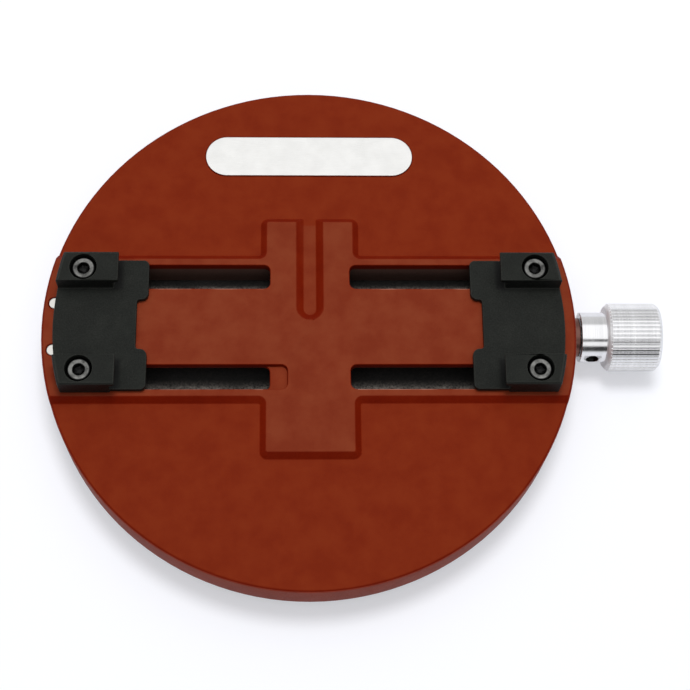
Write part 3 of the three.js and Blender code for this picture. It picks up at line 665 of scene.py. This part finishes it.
def socket_screw(name, corners, ease, key, key_depth, place, along, lean):
    """A screw turned to a profile from its tip to the middle of its head, the last corner being the mouth of
    the key socket. The mouth's circle narrows to a hexagon, which runs down to a shallow drilled cone."""
    profile = eased(corners, ease)
    top = profile[-1, 0]
    outside = np.repeat(profile[:, 1:], SCREW_STEPS, axis=1)
    hexagon = six_sided(key, SCREW_STEPS, lean)
    mouth = corners[-1][1]
    lip = (mouth - key) * KEY_LIP_SHARE
    cone = key * KEY_CONE_SHARE
    rows = (hexagon, hexagon, hexagon * KEY_FLOOR_SHARE, hexagon * KEY_CONE_SHARE, hexagon * 0.0)
    depths = (lip, key_depth - KEY_FLOOR_ROUND, key_depth, key_depth + cone / 2, key_depth + cone)
    levels = top - np.array(depths)
    axial = np.concatenate((profile[:, 0], levels))
    return skin(name, turned(axial, np.vstack((outside, *rows)), place, along, RIGHT))


def blackened(name, dark, body, pale):
    """Blackened steel: a thin matt black oxide with fine paler specks, a little glossier where it is pale,
    and painted darker on its sides as shade, since they face away from the light from above."""
    material, tree, shader = new_material(name, Specular_IOR_Level=OXIDE_GLOSS)
    grit = grain_of(tree, OXIDE_GRAIN)
    greys = (dark, body, pale)
    fine = colours_by(tree, grit.outputs["Grain"], *zip(OXIDE_FINE_STOPS, greys))
    slow = colours_by(tree, grit.outputs["Cloud"], *zip(OXIDE_SLOW_STOPS, greys))
    # Painted shade: faces that are not turned up blend towards the dark colour.
    aside = math_node(tree, "MULTIPLY_ADD", faces_up(tree, *SIDE_SHADE_SLOPES), -PAINTED_SIDE_SHADE, PAINTED_SIDE_SHADE)
    handled = blend_colours(tree, OXIDE_SLOW_SHARE, fine, slow)
    tree.links.new(blend_colours(tree, aside, handled, dark), shader.inputs["Base Color"])
    rough_by(tree, shader, grit.outputs["Grain"], *OXIDE_ROUGH)
    bump(tree, shader, grit.outputs["Height"], OXIDE_RELIEF)
    return material


OXIDE = blackened("black_oxide", OXIDE_DARK, OXIDE_BODY, OXIDE_PALE)
cover_profile = (
    (-COVER_LENGTH, 0.0),
    (-COVER_LENGTH, COVER_SHANK - COVER_TIP),
    (-COVER_LENGTH + COVER_TIP, COVER_SHANK),
    (-COVER_CONE, COVER_SHANK),
    (-COVER_RIM, COVER_HEAD),
    (0.0, COVER_HEAD - COVER_RIM),
    (0.0, COVER_KEY + COVER_MOUTH),
)
for node in [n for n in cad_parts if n.startswith("cover_screw_")]:
    low, high = (Vector(corner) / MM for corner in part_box(node))
    middle = np.array(((low.x + high.x) / 2, (low.y + high.y) / 2, low.z))
    lean = middle[0] * KEY_LEAN_STEP + middle[1]
    name = "countersunk" + node.removeprefix("cover_screw")
    piece = socket_screw(name, cover_profile, COVER_EASE, COVER_KEY, COVER_KEY_DEPTH, middle, -UP, lean)
    piece.data.materials.append(OXIDE)
    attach(piece, "base")
    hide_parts(node)


# Rubber feet
# Four round pads of black rubber, moulded with a rounded rim and a shallow hollow underneath.
# They are glued into seats in the underside.
FOOT_RADIUS = 6.0
FOOT_HEIGHT = 3.5
FOOT_ROUND = 0.6
FOOT_HOLLOW = 0.25
FOOT_DRAFT = 0.02
FOOT_RIM_SHARE = 0.7
FOOT_FLOOR_SHARE = 0.62
FOOT_EASE = 0.3
FOOT_STEPS = 96
RUBBER_DARK = (0.006, 0.006, 0.006, 1.0)
RUBBER_PALE = (0.014, 0.014, 0.014, 1.0)
RUBBER_GRAIN = 0.25
RUBBER_GLOSS = 0.3
RUBBER_ROUGH = (0.6, 0.75)
RUBBER_RELIEF = 0.01 * MM

rubber, tree, shader = new_material("moulded_rubber", Specular_IOR_Level=RUBBER_GLOSS)
grit = grain_of(tree, RUBBER_GRAIN)
body = colours_by(tree, grit.outputs["Cloud"], (NOISE_LOW, RUBBER_DARK), (NOISE_HIGH, RUBBER_PALE))
tree.links.new(body, shader.inputs["Base Color"])
rough_by(tree, shader, grit.outputs["Cloud"], *RUBBER_ROUGH)
bump(tree, shader, grit.outputs["Grain"], RUBBER_RELIEF)
foot_profile = eased((
    (-FOOT_HEIGHT, 0.0),
    (-FOOT_HEIGHT, FOOT_RADIUS - FOOT_DRAFT),
    (-FOOT_ROUND, FOOT_RADIUS),
    (0.0, FOOT_RADIUS - FOOT_ROUND),
    (0.0, FOOT_RADIUS * FOOT_RIM_SHARE),
    (-FOOT_HOLLOW, FOOT_RADIUS * FOOT_FLOOR_SHARE),
    (-FOOT_HOLLOW, 0.0),
), FOOT_EASE, steps=6)
for node in [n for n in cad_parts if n.startswith("foot_")]:
    low, high = (Vector(corner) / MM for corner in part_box(node))
    middle = np.array(((low.x + high.x) / 2, (low.y + high.y) / 2, low.z))
    radius = np.repeat(foot_profile[:, 1:], FOOT_STEPS, axis=1)
    piece = skin("rubber_" + node, turned(foot_profile[:, 0], radius, middle, -UP, RIGHT))
    piece.data.materials.append(rubber)
    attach(piece, "base")
    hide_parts(node)


# Far bearing
# A small brass block under the left rim in which the lead screw's end turns.
# It is the fixed solid itself, milled, so fine straight marks run along it.
BLOCK_EDGE = 0.08 * MM
BRASS_DARK = (0.36, 0.22, 0.065, 1.0)
BRASS_PALE = (0.50, 0.33, 0.11, 1.0)
DRIFT_SHARE = 0.4


def marks_group():
    """Tool marks: noise in millimetres, stretched by a different factor along each axis so that it draws into
    lines. Lines is the fine pattern, Drift a slow change between brighter and duller places."""
    group, given, result = new_group("tool_marks", ["Vector", "Stretch"], [], ["Lines", "Drift"])
    drawn = vector_node(group, "MULTIPLY", given["Vector"], given["Stretch"])
    lines = add_node(group, "ShaderNodeTexNoise", Vector=drawn, Scale=1.0, Detail=2.0, Roughness=0.7)
    drift = add_node(group, "ShaderNodeTexNoise", Vector=given["Vector"], Scale=0.35, Detail=2.0)
    feed(group, result["Lines"], lines.outputs["Fac"])
    feed(group, result["Drift"], drift.outputs["Fac"])
    return group


MARKS = marks_group()


def metal(name, dark, pale, rough, stretch, depth, from_map=False):
    """A bare metal whose colour runs from dark to pale and whose roughness runs over its (low, high) pair
    along tool marks of the given stretch and depth in mm. Marks lie on the piece's place, or on its UV map,
    whose v is a length in millimetres."""
    material, tree, shader = new_material(name, Metallic=1.0)
    here = tree.nodes.new("ShaderNodeTexCoord").outputs["UV"] if from_map else place_in_mm(tree)
    marks = add_node(tree, "ShaderNodeGroup", MARKS, Vector=here, Stretch=stretch)
    colour = colours_by(tree, marks.outputs["Lines"], (NOISE_LOW, dark), (NOISE_HIGH, pale))
    drift = colours_by(tree, marks.outputs["Drift"], (NOISE_LOW, dark), (NOISE_HIGH, pale))
    tree.links.new(blend_colours(tree, DRIFT_SHARE, colour, drift), shader.inputs["Base Color"])
    rough_by(tree, shader, marks.outputs["Lines"], *rough)
    bump(tree, shader, marks.outputs["Lines"], depth * MM)
    return material


def overlay(material, mask, colour):
    """Lays a colour over a material's own base colour, by a mask from 0 to 1."""
    tree = material.node_tree
    socket = tree.nodes["Principled BSDF"].inputs["Base Color"]
    tree.links.new(blend_colours(tree, mask, socket.links[0].from_socket, colour), socket)


BRASS = metal("milled_brass", BRASS_DARK, BRASS_PALE, rough=(0.22, 0.38), stretch=(0.6, 9.0, 9.0),
              depth=0.006)
bearing = eased_copy("brass_bearing", "far_bearing", BLOCK_EDGE, BRASS, BRASS, segments=2)
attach(bearing, "base")
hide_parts("far_bearing")


# Dowel pins
# Two ground steel pins pressed down through the stone beside the far bearing, level with the raised cross.
# Only their bright round ends show, half under the jaw.
PIN_RADIUS = 1.15
PIN_CHAMFER = 0.2
PIN_EASE = 0.1
PIN_STEPS = 64
STEEL_DARK = (0.60, 0.585, 0.550, 1.0)
STEEL_PALE = (0.74, 0.725, 0.690, 1.0)

GROUND_STEEL = metal("ground_steel", STEEL_DARK, STEEL_PALE, rough=(0.16, 0.3), stretch=(1.0, 7.0, 1.0),
                     depth=0.001, from_map=True)
for node in ("bearing_pin_front", "bearing_pin_back"):
    low, high = (Vector(corner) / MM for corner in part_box(node))
    middle = np.array(((low.x + high.x) / 2, (low.y + high.y) / 2, low.z))
    length = high.z - low.z
    profile = eased((
        (0.0, 0.0),
        (0.0, PIN_RADIUS - PIN_CHAMFER),
        (PIN_CHAMFER, PIN_RADIUS),
        (length - PIN_CHAMFER, PIN_RADIUS),
        (length, PIN_RADIUS - PIN_CHAMFER),
        (length, 0.0),
    ), PIN_EASE)
    radius = np.repeat(profile[:, 1:], PIN_STEPS, axis=1)
    piece = skin("dowel" + node.removeprefix("bearing"), turned(profile[:, 0], radius, middle, UP, RIGHT))
    piece.data.materials.append(GROUND_STEEL)
    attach(piece, "base")
    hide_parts(node)


# Bush
# A turned steel bush pressed into the rim on the knob's side, its thin flange flat against the stone.
# The lead screw runs through it, and its metal is painted a dull brown: painted shade and a painted
# reflection of the red stone.
SCREW_HEIGHT = 4.0
RIM = 50.0
POCKET_END = 46.0
BUSH_RADIUS = 3.0
BORE_RADIUS = 2.06
FLANGE_RADIUS = 3.7
FLANGE_END = 51.25
BUSH_EASE = 0.12
TURN_STEPS = 128
BUSH_SHADED_DARK = (0.135, 0.060, 0.048, 1.0)
BUSH_REFLECTED_PALE = (0.270, 0.150, 0.125, 1.0)

TURNED_STEEL = metal("turned_steel", BUSH_SHADED_DARK, BUSH_REFLECTED_PALE, rough=(0.32, 0.45), stretch=(1.0, 6.0, 1.0),
                     depth=0.001, from_map=True)
screw_start = np.array((0.0, 0.0, SCREW_HEIGHT))

profile = eased((
    (POCKET_END, BUSH_RADIUS),
    (RIM, BUSH_RADIUS),
    (RIM, FLANGE_RADIUS),
    (FLANGE_END, FLANGE_RADIUS),
    (FLANGE_END, BORE_RADIUS),
    (POCKET_END, BORE_RADIUS),
), BUSH_EASE, closed=True)
radius = np.repeat(profile[:, 1:], TURN_STEPS, axis=1)
bush = skin("flanged_bush", turned(profile[:, 0], radius, screw_start, RIGHT, BACK), closed=True)
bush.data.materials.append(TURNED_STEEL)
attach(bush, "base")
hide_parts("knob_bush")


# Lead screw
# One steel rod cut with a fine thread of opposite hand on each half, so that both jaws close together.
# Its left end is a plain journal and its right end the knob's stem.
JOURNAL_END = -47.27
SHOULDER = -44.3
JOURNAL_RADIUS = 1.5
THREAD_RADIUS = 2.0
THREAD_DEPTH = 0.38
THREAD_PITCH = 0.7
THREAD_FADE = 0.7
THREAD_LEAD_IN = 0.1
SCREW_CHAMFER = 0.2
ROWS_PER_PITCH = 8
NECK_HALF = 1.5
NECK_RADIUS = 1.5
THREAD_END = 45.5
STEM_END = 62.25
SCREW_ROUND = 40
BRIGHT_DARK = (0.52, 0.51, 0.49, 1.0)
BRIGHT_PALE = (0.68, 0.67, 0.65, 1.0)


def lead_screw_points():
    """Radius against place and angle: a plain outline stepped at the journal, the neck and the stem, less the
    thread depth times a triangle wave of (place over pitch - hand times share of the turn)."""
    fine = np.arange(SHOULDER + THREAD_LEAD_IN, THREAD_END, THREAD_PITCH / ROWS_PER_PITCH)
    outline = np.array((
        (JOURNAL_END, 0.0),
        (JOURNAL_END, JOURNAL_RADIUS - SCREW_CHAMFER),
        (JOURNAL_END + SCREW_CHAMFER, JOURNAL_RADIUS),
        (SHOULDER, JOURNAL_RADIUS),
        (SHOULDER, THREAD_RADIUS - SCREW_CHAMFER),
    ))
    tail = np.array((
        (STEM_END - SCREW_CHAMFER, THREAD_RADIUS),
        (STEM_END, THREAD_RADIUS - SCREW_CHAMFER),
        (STEM_END, 0.0),
    ))
    axial = np.concatenate((outline[:, 0], fine, tail[:, 0]))
    share = np.linspace(0, 1, SCREW_ROUND, endpoint=False)[None, :]
    hand = np.where(fine < 0, 1.0, -1.0)[:, None]
    wave = np.abs(((fine[:, None] / THREAD_PITCH - hand * share) % 1.0) * 2 - 1)
    fade = np.clip((fine - SHOULDER) / THREAD_FADE, 0, 1) * np.clip((THREAD_END - fine) / THREAD_FADE, 0, 1)
    cut = THREAD_RADIUS - THREAD_DEPTH * wave * fade[:, None]
    cut[np.abs(fine) < NECK_HALF] = NECK_RADIUS
    ends = [np.repeat(part[:, 1:], SCREW_ROUND, axis=1) for part in (outline, tail)]
    return axial, np.vstack((ends[0], cut, ends[1]))


CUT_STEEL = metal("cut_steel", BRIGHT_DARK, BRIGHT_PALE, rough=(0.2, 0.34), stretch=(1.0, 3.0, 1.0),
                  depth=0.002, from_map=True)
lead_screw = skin("threaded_rod", turned(*lead_screw_points(), screw_start, RIGHT, BACK))
lead_screw.data.materials.append(CUT_STEEL)
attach(lead_screw, "knob")
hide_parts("lead_screw")


# Retaining ring
# A turned steel collar fixed on the lead screw behind the bush, so that the screw cannot be pulled out.
# Its corners are broken by a fine chamfer.
RING_RADIUS = 3.2
RING_START = 44.3
RING_END = 45.9
RING_CHAMFER = 0.2

profile = eased((
    (RING_START, RING_RADIUS),
    (RING_END, RING_RADIUS),
    (RING_END, BORE_RADIUS),
    (RING_START, BORE_RADIUS),
), RING_CHAMFER, closed=True)
radius = np.repeat(profile[:, 1:], TURN_STEPS, axis=1)
ring = skin("screw_collar", turned(profile[:, 0], radius, screw_start, RIGHT, BACK), closed=True)
ring.data.materials.append(CUT_STEEL)
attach(ring, "knob")
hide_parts("retaining_ring")


# Knob
# Turned from one bar of aluminium: a smooth polished hub and a grip with fifty straight knurled teeth.
# A grub screw in the hub grips the lead screw's stem.
HUB_START = 51.35
HUB_RADIUS = 4.75
GRIP_START = 56.15
GRIP_END = 66.35
GRIP_RADIUS = 6.45
GRIP_LEFT_CHAMFER = (0.68, 0.72)
GRIP_RIGHT_CHAMFER = (0.6, 0.7)
TEETH = 50
TOOTH_DEPTH = 0.34
TOOTH_CREST = 0.6
TOOTH_STEPS = 12
KNURL_MARGIN = 1.0
KNOB_EASE = 0.1
LEFT_CONE_INSET = 0.3
RIGHT_CONE_INSET = 0.15
LEFT_CONE_ROWS = 8
RIGHT_CONE_ROWS = 6
BORE_END = 62.55
BORE_POINT = 0.8
BORE_CHAMFER = 0.1
BORE_FLOOR_SHARE = 0.95
KNOB_DARK = (0.76, 0.76, 0.775, 1.0)
KNOB_PALE = (0.93, 0.93, 0.945, 1.0)
GRUB_PLACE = np.array((53.606, 0.0, SCREW_HEIGHT))
GRUB_LEAN = math.radians(83.0)
GRUB_ALONG = np.array((0.0, -math.sin(GRUB_LEAN), math.cos(GRUB_LEAN)))
GRUB_HOLE = 1.2
GRUB_HOLE_MARGIN = 0.03
DRILL_START = 0.5
DRILL_END = HUB_RADIUS + 1.0
# Painted shade on the wall of the grub screw's hole.
HOLE_PAINTED_SHADE = (0.012, 0.012, 0.012, 1.0)
CONE_END = GRIP_START + GRIP_LEFT_CHAMFER[1]
CONE_SOFT = 0.2
CONE_ROUGHNESS = 0.4
GRIP_MARGIN = 0.05
FROST_SHARE = 0.45


def knob_points():
    """Radius against place and angle: the turned outline, cut down between the teeth to a valley whose depth
    is a raised cosine over the part of the pitch outside the flat crest. The bore closes the surface
    inside."""
    near, left_run = GRIP_LEFT_CHAMFER
    far, right_run = GRIP_RIGHT_CHAMFER
    profile = eased((
        (HUB_START, BORE_RADIUS),
        (HUB_START, HUB_RADIUS),
        (GRIP_START, HUB_RADIUS),
        (GRIP_START, GRIP_RADIUS - near),
        (GRIP_START + left_run, GRIP_RADIUS),
        (GRIP_END - right_run, GRIP_RADIUS),
        (GRIP_END, GRIP_RADIUS - far),
        (GRIP_END, 0.0),
    ), KNOB_EASE)
    runs = np.linspace(GRIP_START + LEFT_CONE_INSET, GRIP_START + left_run, LEFT_CONE_ROWS)
    slopes = np.column_stack((runs, GRIP_RADIUS - near + near * (runs - GRIP_START) / left_run))
    back_runs = np.linspace(GRIP_END - right_run, GRIP_END - RIGHT_CONE_INSET, RIGHT_CONE_ROWS)
    fall = far * (back_runs - GRIP_END + right_run) / right_run
    back_slopes = np.column_stack((back_runs, GRIP_RADIUS - fall))
    grip = np.flatnonzero((profile[:, 0] >= GRIP_START) & (profile[:, 1] > GRIP_RADIUS - max(near, far)))
    head, tail = profile[:grip[0] + 1], profile[grip[-1]:]
    outside = np.vstack((head, slopes, back_slopes, tail))
    inside = np.array((
        (BORE_END + BORE_POINT, 0.0),
        (BORE_END, BORE_RADIUS * BORE_FLOOR_SHARE),
        (BORE_END - BORE_CHAMFER, BORE_RADIUS),
    ))
    steps = TEETH * TOOTH_STEPS
    across = np.abs(np.linspace(0, TEETH, steps, endpoint=False)[None, :] % 1.0 - 0.5) * 2
    flank = np.clip((across - TOOTH_CREST) / (1 - TOOTH_CREST), 0, 1)
    knurl = GRIP_RADIUS - TOOTH_DEPTH * (1 - np.cos(flank * np.pi)) / 2
    toothed = outside[:, :1] > GRIP_START - KNURL_MARGIN
    radius = np.where(toothed, np.minimum(outside[:, 1:], knurl), outside[:, 1:])
    radius = np.vstack((radius, np.repeat(inside[:, 1:], steps, axis=1)))
    return np.concatenate((outside[:, 0], inside[:, 0])), radius


def axis_group():
    """Distance of a place from the line through a point along a unit direction: the length of the cross
    product of (place less point) and the direction."""
    group, given, result = new_group("axis_distance", ["Vector", "Point", "Along"], [], ["Distance"])
    offset = vector_node(group, "SUBTRACT", given["Vector"], given["Point"])
    crossed = vector_node(group, "CROSS_PRODUCT", offset, given["Along"])
    feed(group, result["Distance"], vector_node(group, "LENGTH", crossed))
    return group


AXIS = axis_group()
TURNED_ALUMINIUM = metal("turned_aluminium", KNOB_DARK, KNOB_PALE, rough=(0.12, 0.22),
                         stretch=(1.0, 5.0, 1.0), depth=0.002, from_map=True)
tree = TURNED_ALUMINIUM.node_tree
shader = tree.nodes["Principled BSDF"]
here = add_node(tree, "ShaderNodeSeparateXYZ", Vector=place_in_mm(tree))
past_cone = add_node(tree, "ShaderNodeMapRange", Value=here.outputs["X"], From_Min=CONE_END - CONE_SOFT,
                     From_Max=CONE_END + CONE_SOFT, To_Min=CONE_ROUGHNESS, To_Max=0.0)
on_grip = math_node(tree, "GREATER_THAN", here.outputs["X"], GRIP_START - GRIP_MARGIN)
satin = math_node(tree, "MULTIPLY", past_cone.outputs["Result"], on_grip)
smooth = shader.inputs["Roughness"].links[0].from_socket
tree.links.new(math_node(tree, "MAXIMUM", smooth, satin), shader.inputs["Roughness"])
frosted = math_node(tree, "MULTIPLY", satin, FROST_SHARE / CONE_ROUGHNESS)
tree.links.new(math_node(tree, "SUBTRACT", 1.0, frosted), shader.inputs["Metallic"])
# Painted shade inside the grub screw's hole, found by distance from its axis.
from_hole = add_node(tree, "ShaderNodeGroup", AXIS, Vector=place_in_mm(tree), Point=GRUB_PLACE,
                     Along=GRUB_ALONG)
in_hole = math_node(tree, "LESS_THAN", from_hole.outputs["Distance"], GRUB_HOLE + GRUB_HOLE_MARGIN)
overlay(TURNED_ALUMINIUM, in_hole, HOLE_PAINTED_SHADE)
knob = skin("knurled_knob", turned(*knob_points(), screw_start, RIGHT, BACK), closed=True)
hole_profile = np.array((
    (DRILL_START, 0.0),
    (DRILL_START, GRUB_HOLE),
    (DRILL_END, GRUB_HOLE),
    (DRILL_END, 0.0),
))
hole_radius = np.repeat(hole_profile[:, 1:], SCREW_STEPS, axis=1)
drill = skin("drill", turned(hole_profile[:, 0], hole_radius, GRUB_PLACE, GRUB_ALONG, RIGHT))
cut = knob.modifiers.new("grub_hole", "BOOLEAN")
cut.operation = "DIFFERENCE"
cut.solver = "EXACT"
cut.object = drill
bpy.context.view_layer.update()
holed = bpy.data.meshes.new_from_object(knob.evaluated_get(bpy.context.evaluated_depsgraph_get()))
knob.modifiers.clear()
knob.data = holed
knob.modifiers.new("even_shading", "WEIGHTED_NORMAL")
bpy.data.objects.remove(drill)
knob.data.materials.clear()
knob.data.materials.append(TURNED_ALUMINIUM)
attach(knob, "knob")
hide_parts("knob")


# Grub screw
# A blackened cup-point set screw deep in the hub's hole, with a small six-sided key socket.
# It leans a little up from level, towards the front.
GRUB_START = 2.1
GRUB_LENGTH = 1.8
GRUB_RADIUS = 1.15
GRUB_KEY = 0.65
GRUB_KEY_DEPTH = 0.9
GRUB_MOUTH = 0.12
GRUB_CUP = 0.3
GRUB_CHAMFER = 0.15
GRUB_EASE = 0.05

grub_profile = (
    (GRUB_START, 0.0),
    (GRUB_START, GRUB_RADIUS - GRUB_CUP),
    (GRUB_START + GRUB_CUP, GRUB_RADIUS),
    (GRUB_START + GRUB_LENGTH - GRUB_CHAMFER, GRUB_RADIUS),
    (GRUB_START + GRUB_LENGTH, GRUB_RADIUS - GRUB_CHAMFER),
    (GRUB_START + GRUB_LENGTH, GRUB_KEY + GRUB_MOUTH),
)
grub = socket_screw("set_screw", grub_profile, GRUB_EASE, GRUB_KEY, GRUB_KEY_DEPTH, GRUB_PLACE, GRUB_ALONG,
                    lean=0.0)
grub.data.materials.append(OXIDE)
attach(grub, "knob")
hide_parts("grub_screw")


# Carriages and nuts
# Under each jaw a blackened steel carriage spans the pocket, with a leg up through each slot.
# A brass nut on the lead screw sits in its window and pushes it along.
CARRIAGE_EDGE = 0.15 * MM

for side in ("left", "right"):
    carriage = eased_copy(side + "_bridge", side + "_carriage", CARRIAGE_EDGE, OXIDE, OXIDE, segments=2)
    nut = eased_copy(side + "_brass_nut", side + "_nut", BLOCK_EDGE, BRASS, BRASS, segments=2)
    for piece, node, slot in ((carriage, "_carriage", "blackened_steel"), (nut, "_nut", "brass")):
        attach(piece, side + "_jaw")
        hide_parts(side + node)


# Jaws
# Two milled steel jaws, blackened: a low ledge with two lugs for the board, and two raised blocks whose
# lips reach over its edge. Two socket screws in counterbores hold each jaw on its carriage.
JAW_EDGE = 0.16 * MM
HEAD_TOP = 14.2
HEAD_BOTTOM = 11.7
HEAD_RADIUS = 2.2
JAW_SHANK = 1.25
JAW_SCREW_BOTTOM = 4.7
JAW_KEY = 1.0
JAW_KEY_DEPTH = 1.3
JAW_MOUTH = 0.25
JAW_TIP = 0.25
HEAD_CHAMFER = 0.2
HEAD_EASE = 0.08
KEY_LEANS = {"left_back": 10.0, "left_front": 34.0, "right_back": 22.0, "right_front": 48.0}
JAW_SCREW_AT = (42.1, 10.0, 0.0)
WORN_INNER = 1.2
WORN_OUTER = 1.86
WORN_SOFT = 0.06
WORN_DARK = (0.030, 0.030, 0.029, 1.0)
WORN_PALE = (0.340, 0.340, 0.325, 1.0)
# Painted shade for the cap screws' key sockets and the head edges down in the counterbores.
SOCKET_PAINTED_SHADE = (0.022, 0.022, 0.022, 1.0)
# Painted shade on the ledge in the corner under each block's lip, where the lip shades it.
CORNER_AT = (35.9, 10.1, 10.7)
CORNER_HALF = (0.9, 3.2, 1.0)
CORNER_SOFT = 0.7
CORNER_PAINTED_SHADE = (0.0015, 0.0017, 0.0015, 1.0)

OXIDE_EDGE = blackened("black_oxide_edge", OXIDE_BODY, OXIDE_PALE, OXIDE_WORN)
OXIDE_JAW = blackened("black_oxide_jaw", OXIDE_DARK, OXIDE_BODY, OXIDE_PALE)
tree = OXIDE_JAW.node_tree
# Painted shade in the corner under each lip.
overlay(OXIDE_JAW, within_box(tree, CORNER_AT, CORNER_HALF, CORNER_SOFT), CORNER_PAINTED_SHADE)

WORN_STEEL = metal("worn_steel", WORN_DARK, WORN_PALE, rough=(0.3, 0.45), stretch=(0.9, 0.9, 0.9),
                   depth=0.006)
tree = WORN_STEEL.node_tree
# Painted shade: dark in the key socket and on the head's outer edge and sides; only the ring between stays
# bright metal.
mirrored = vector_node(tree, "ABSOLUTE", place_in_mm(tree))
from_axis = add_node(tree, "ShaderNodeGroup", AXIS, Vector=mirrored, Point=JAW_SCREW_AT, Along=UP)
off_middle = math_node(tree, "SUBTRACT", from_axis.outputs["Distance"], (WORN_INNER + WORN_OUTER) / 2)
worn_half = (WORN_OUTER - WORN_INNER) / 2
shaded_off_ring = add_node(tree, "ShaderNodeMapRange", Value=math_node(tree, "ABSOLUTE", off_middle),
                    From_Min=worn_half - WORN_SOFT, From_Max=worn_half + WORN_SOFT)
overlay(WORN_STEEL, shaded_off_ring.outputs["Result"], SOCKET_PAINTED_SHADE)
jaw_screw_profile = (
    (JAW_SCREW_BOTTOM, 0.0),
    (JAW_SCREW_BOTTOM, JAW_SHANK - JAW_TIP),
    (JAW_SCREW_BOTTOM + JAW_TIP, JAW_SHANK),
    (HEAD_BOTTOM, JAW_SHANK),
    (HEAD_BOTTOM, HEAD_RADIUS),
    (HEAD_TOP - HEAD_CHAMFER, HEAD_RADIUS),
    (HEAD_TOP, HEAD_RADIUS - HEAD_CHAMFER),
    (HEAD_TOP, JAW_KEY + JAW_MOUTH),
)
for side in ("left", "right"):
    jaw = eased_copy(side + "_steel_jaw", side + "_jaw", JAW_EDGE, OXIDE_JAW, OXIDE_EDGE)
    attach(jaw, side + "_jaw")
    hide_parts(side + "_jaw")
    for end in ("front", "back"):
        node = f"{side}_jaw_screw_{end}"
        low, high = (Vector(corner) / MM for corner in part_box(node))
        middle = np.array(((low.x + high.x) / 2, (low.y + high.y) / 2, 0.0))
        lean = KEY_LEANS[f"{side}_{end}"]
        piece = socket_screw(f"{side}_cap_screw_{end}", jaw_screw_profile, HEAD_EASE, JAW_KEY, JAW_KEY_DEPTH,
                             middle, UP, lean)
        piece.data.materials.append(WORN_STEEL)
        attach(piece, side + "_jaw")
        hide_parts(node)


# Nameplate
# A bare brushed steel plate with round ends, let into the back of the base and glued flush.
# Its brushing runs lengthways, and its upper rim is softly rounded.
PLATE_HALF_WIDTH = 4.15
PLATE_HALF_STRAIGHT = 15.95
PLATE_Y = 36.0
PLATE_BOTTOM = 8.4
PLATE_TOP = 8.9
PLATE_EASE = 0.12
PLATE_CLOSING = 4.0
PLATE_STEPS = 160
PLATE_DARK = (0.76, 0.757, 0.742, 1.0)
PLATE_PALE = (0.91, 0.907, 0.892, 1.0)


def stadium_points(insets, levels):
    """Rows of a long outline with round ends, one for each (inset, level): at each angle a point of a circle
    of radius (half width - inset), moved along X by the half straight towards the side it lies on."""
    angle = (np.arange(PLATE_STEPS) + 0.5) * 2 * np.pi / PLATE_STEPS
    reach = PLATE_HALF_WIDTH - insets[:, None]
    shrink = np.clip(reach / PLATE_HALF_WIDTH * PLATE_CLOSING, 0, 1)
    x = reach * np.cos(angle) + np.sign(np.cos(angle)) * PLATE_HALF_STRAIGHT * shrink
    y = PLATE_Y + reach * np.sin(angle)
    return np.stack((x, y, np.repeat(levels[:, None], PLATE_STEPS, axis=1)), axis=-1) * MM


rim = eased((
    (PLATE_BOTTOM, PLATE_HALF_WIDTH),
    (PLATE_BOTTOM, 0.0),
    (PLATE_TOP, 0.0),
    (PLATE_TOP, PLATE_HALF_WIDTH),
), PLATE_EASE)
plate = skin("bare_plate", stadium_points(rim[:, 1], rim[:, 0]))
BRUSHED = metal("brushed_plate", PLATE_DARK, PLATE_PALE, rough=(0.26, 0.42), stretch=(0.25, 14.0, 1.0),
                depth=0.003)
plate.data.materials.append(BRUSHED)
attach(plate, "base")
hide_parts("nameplate")
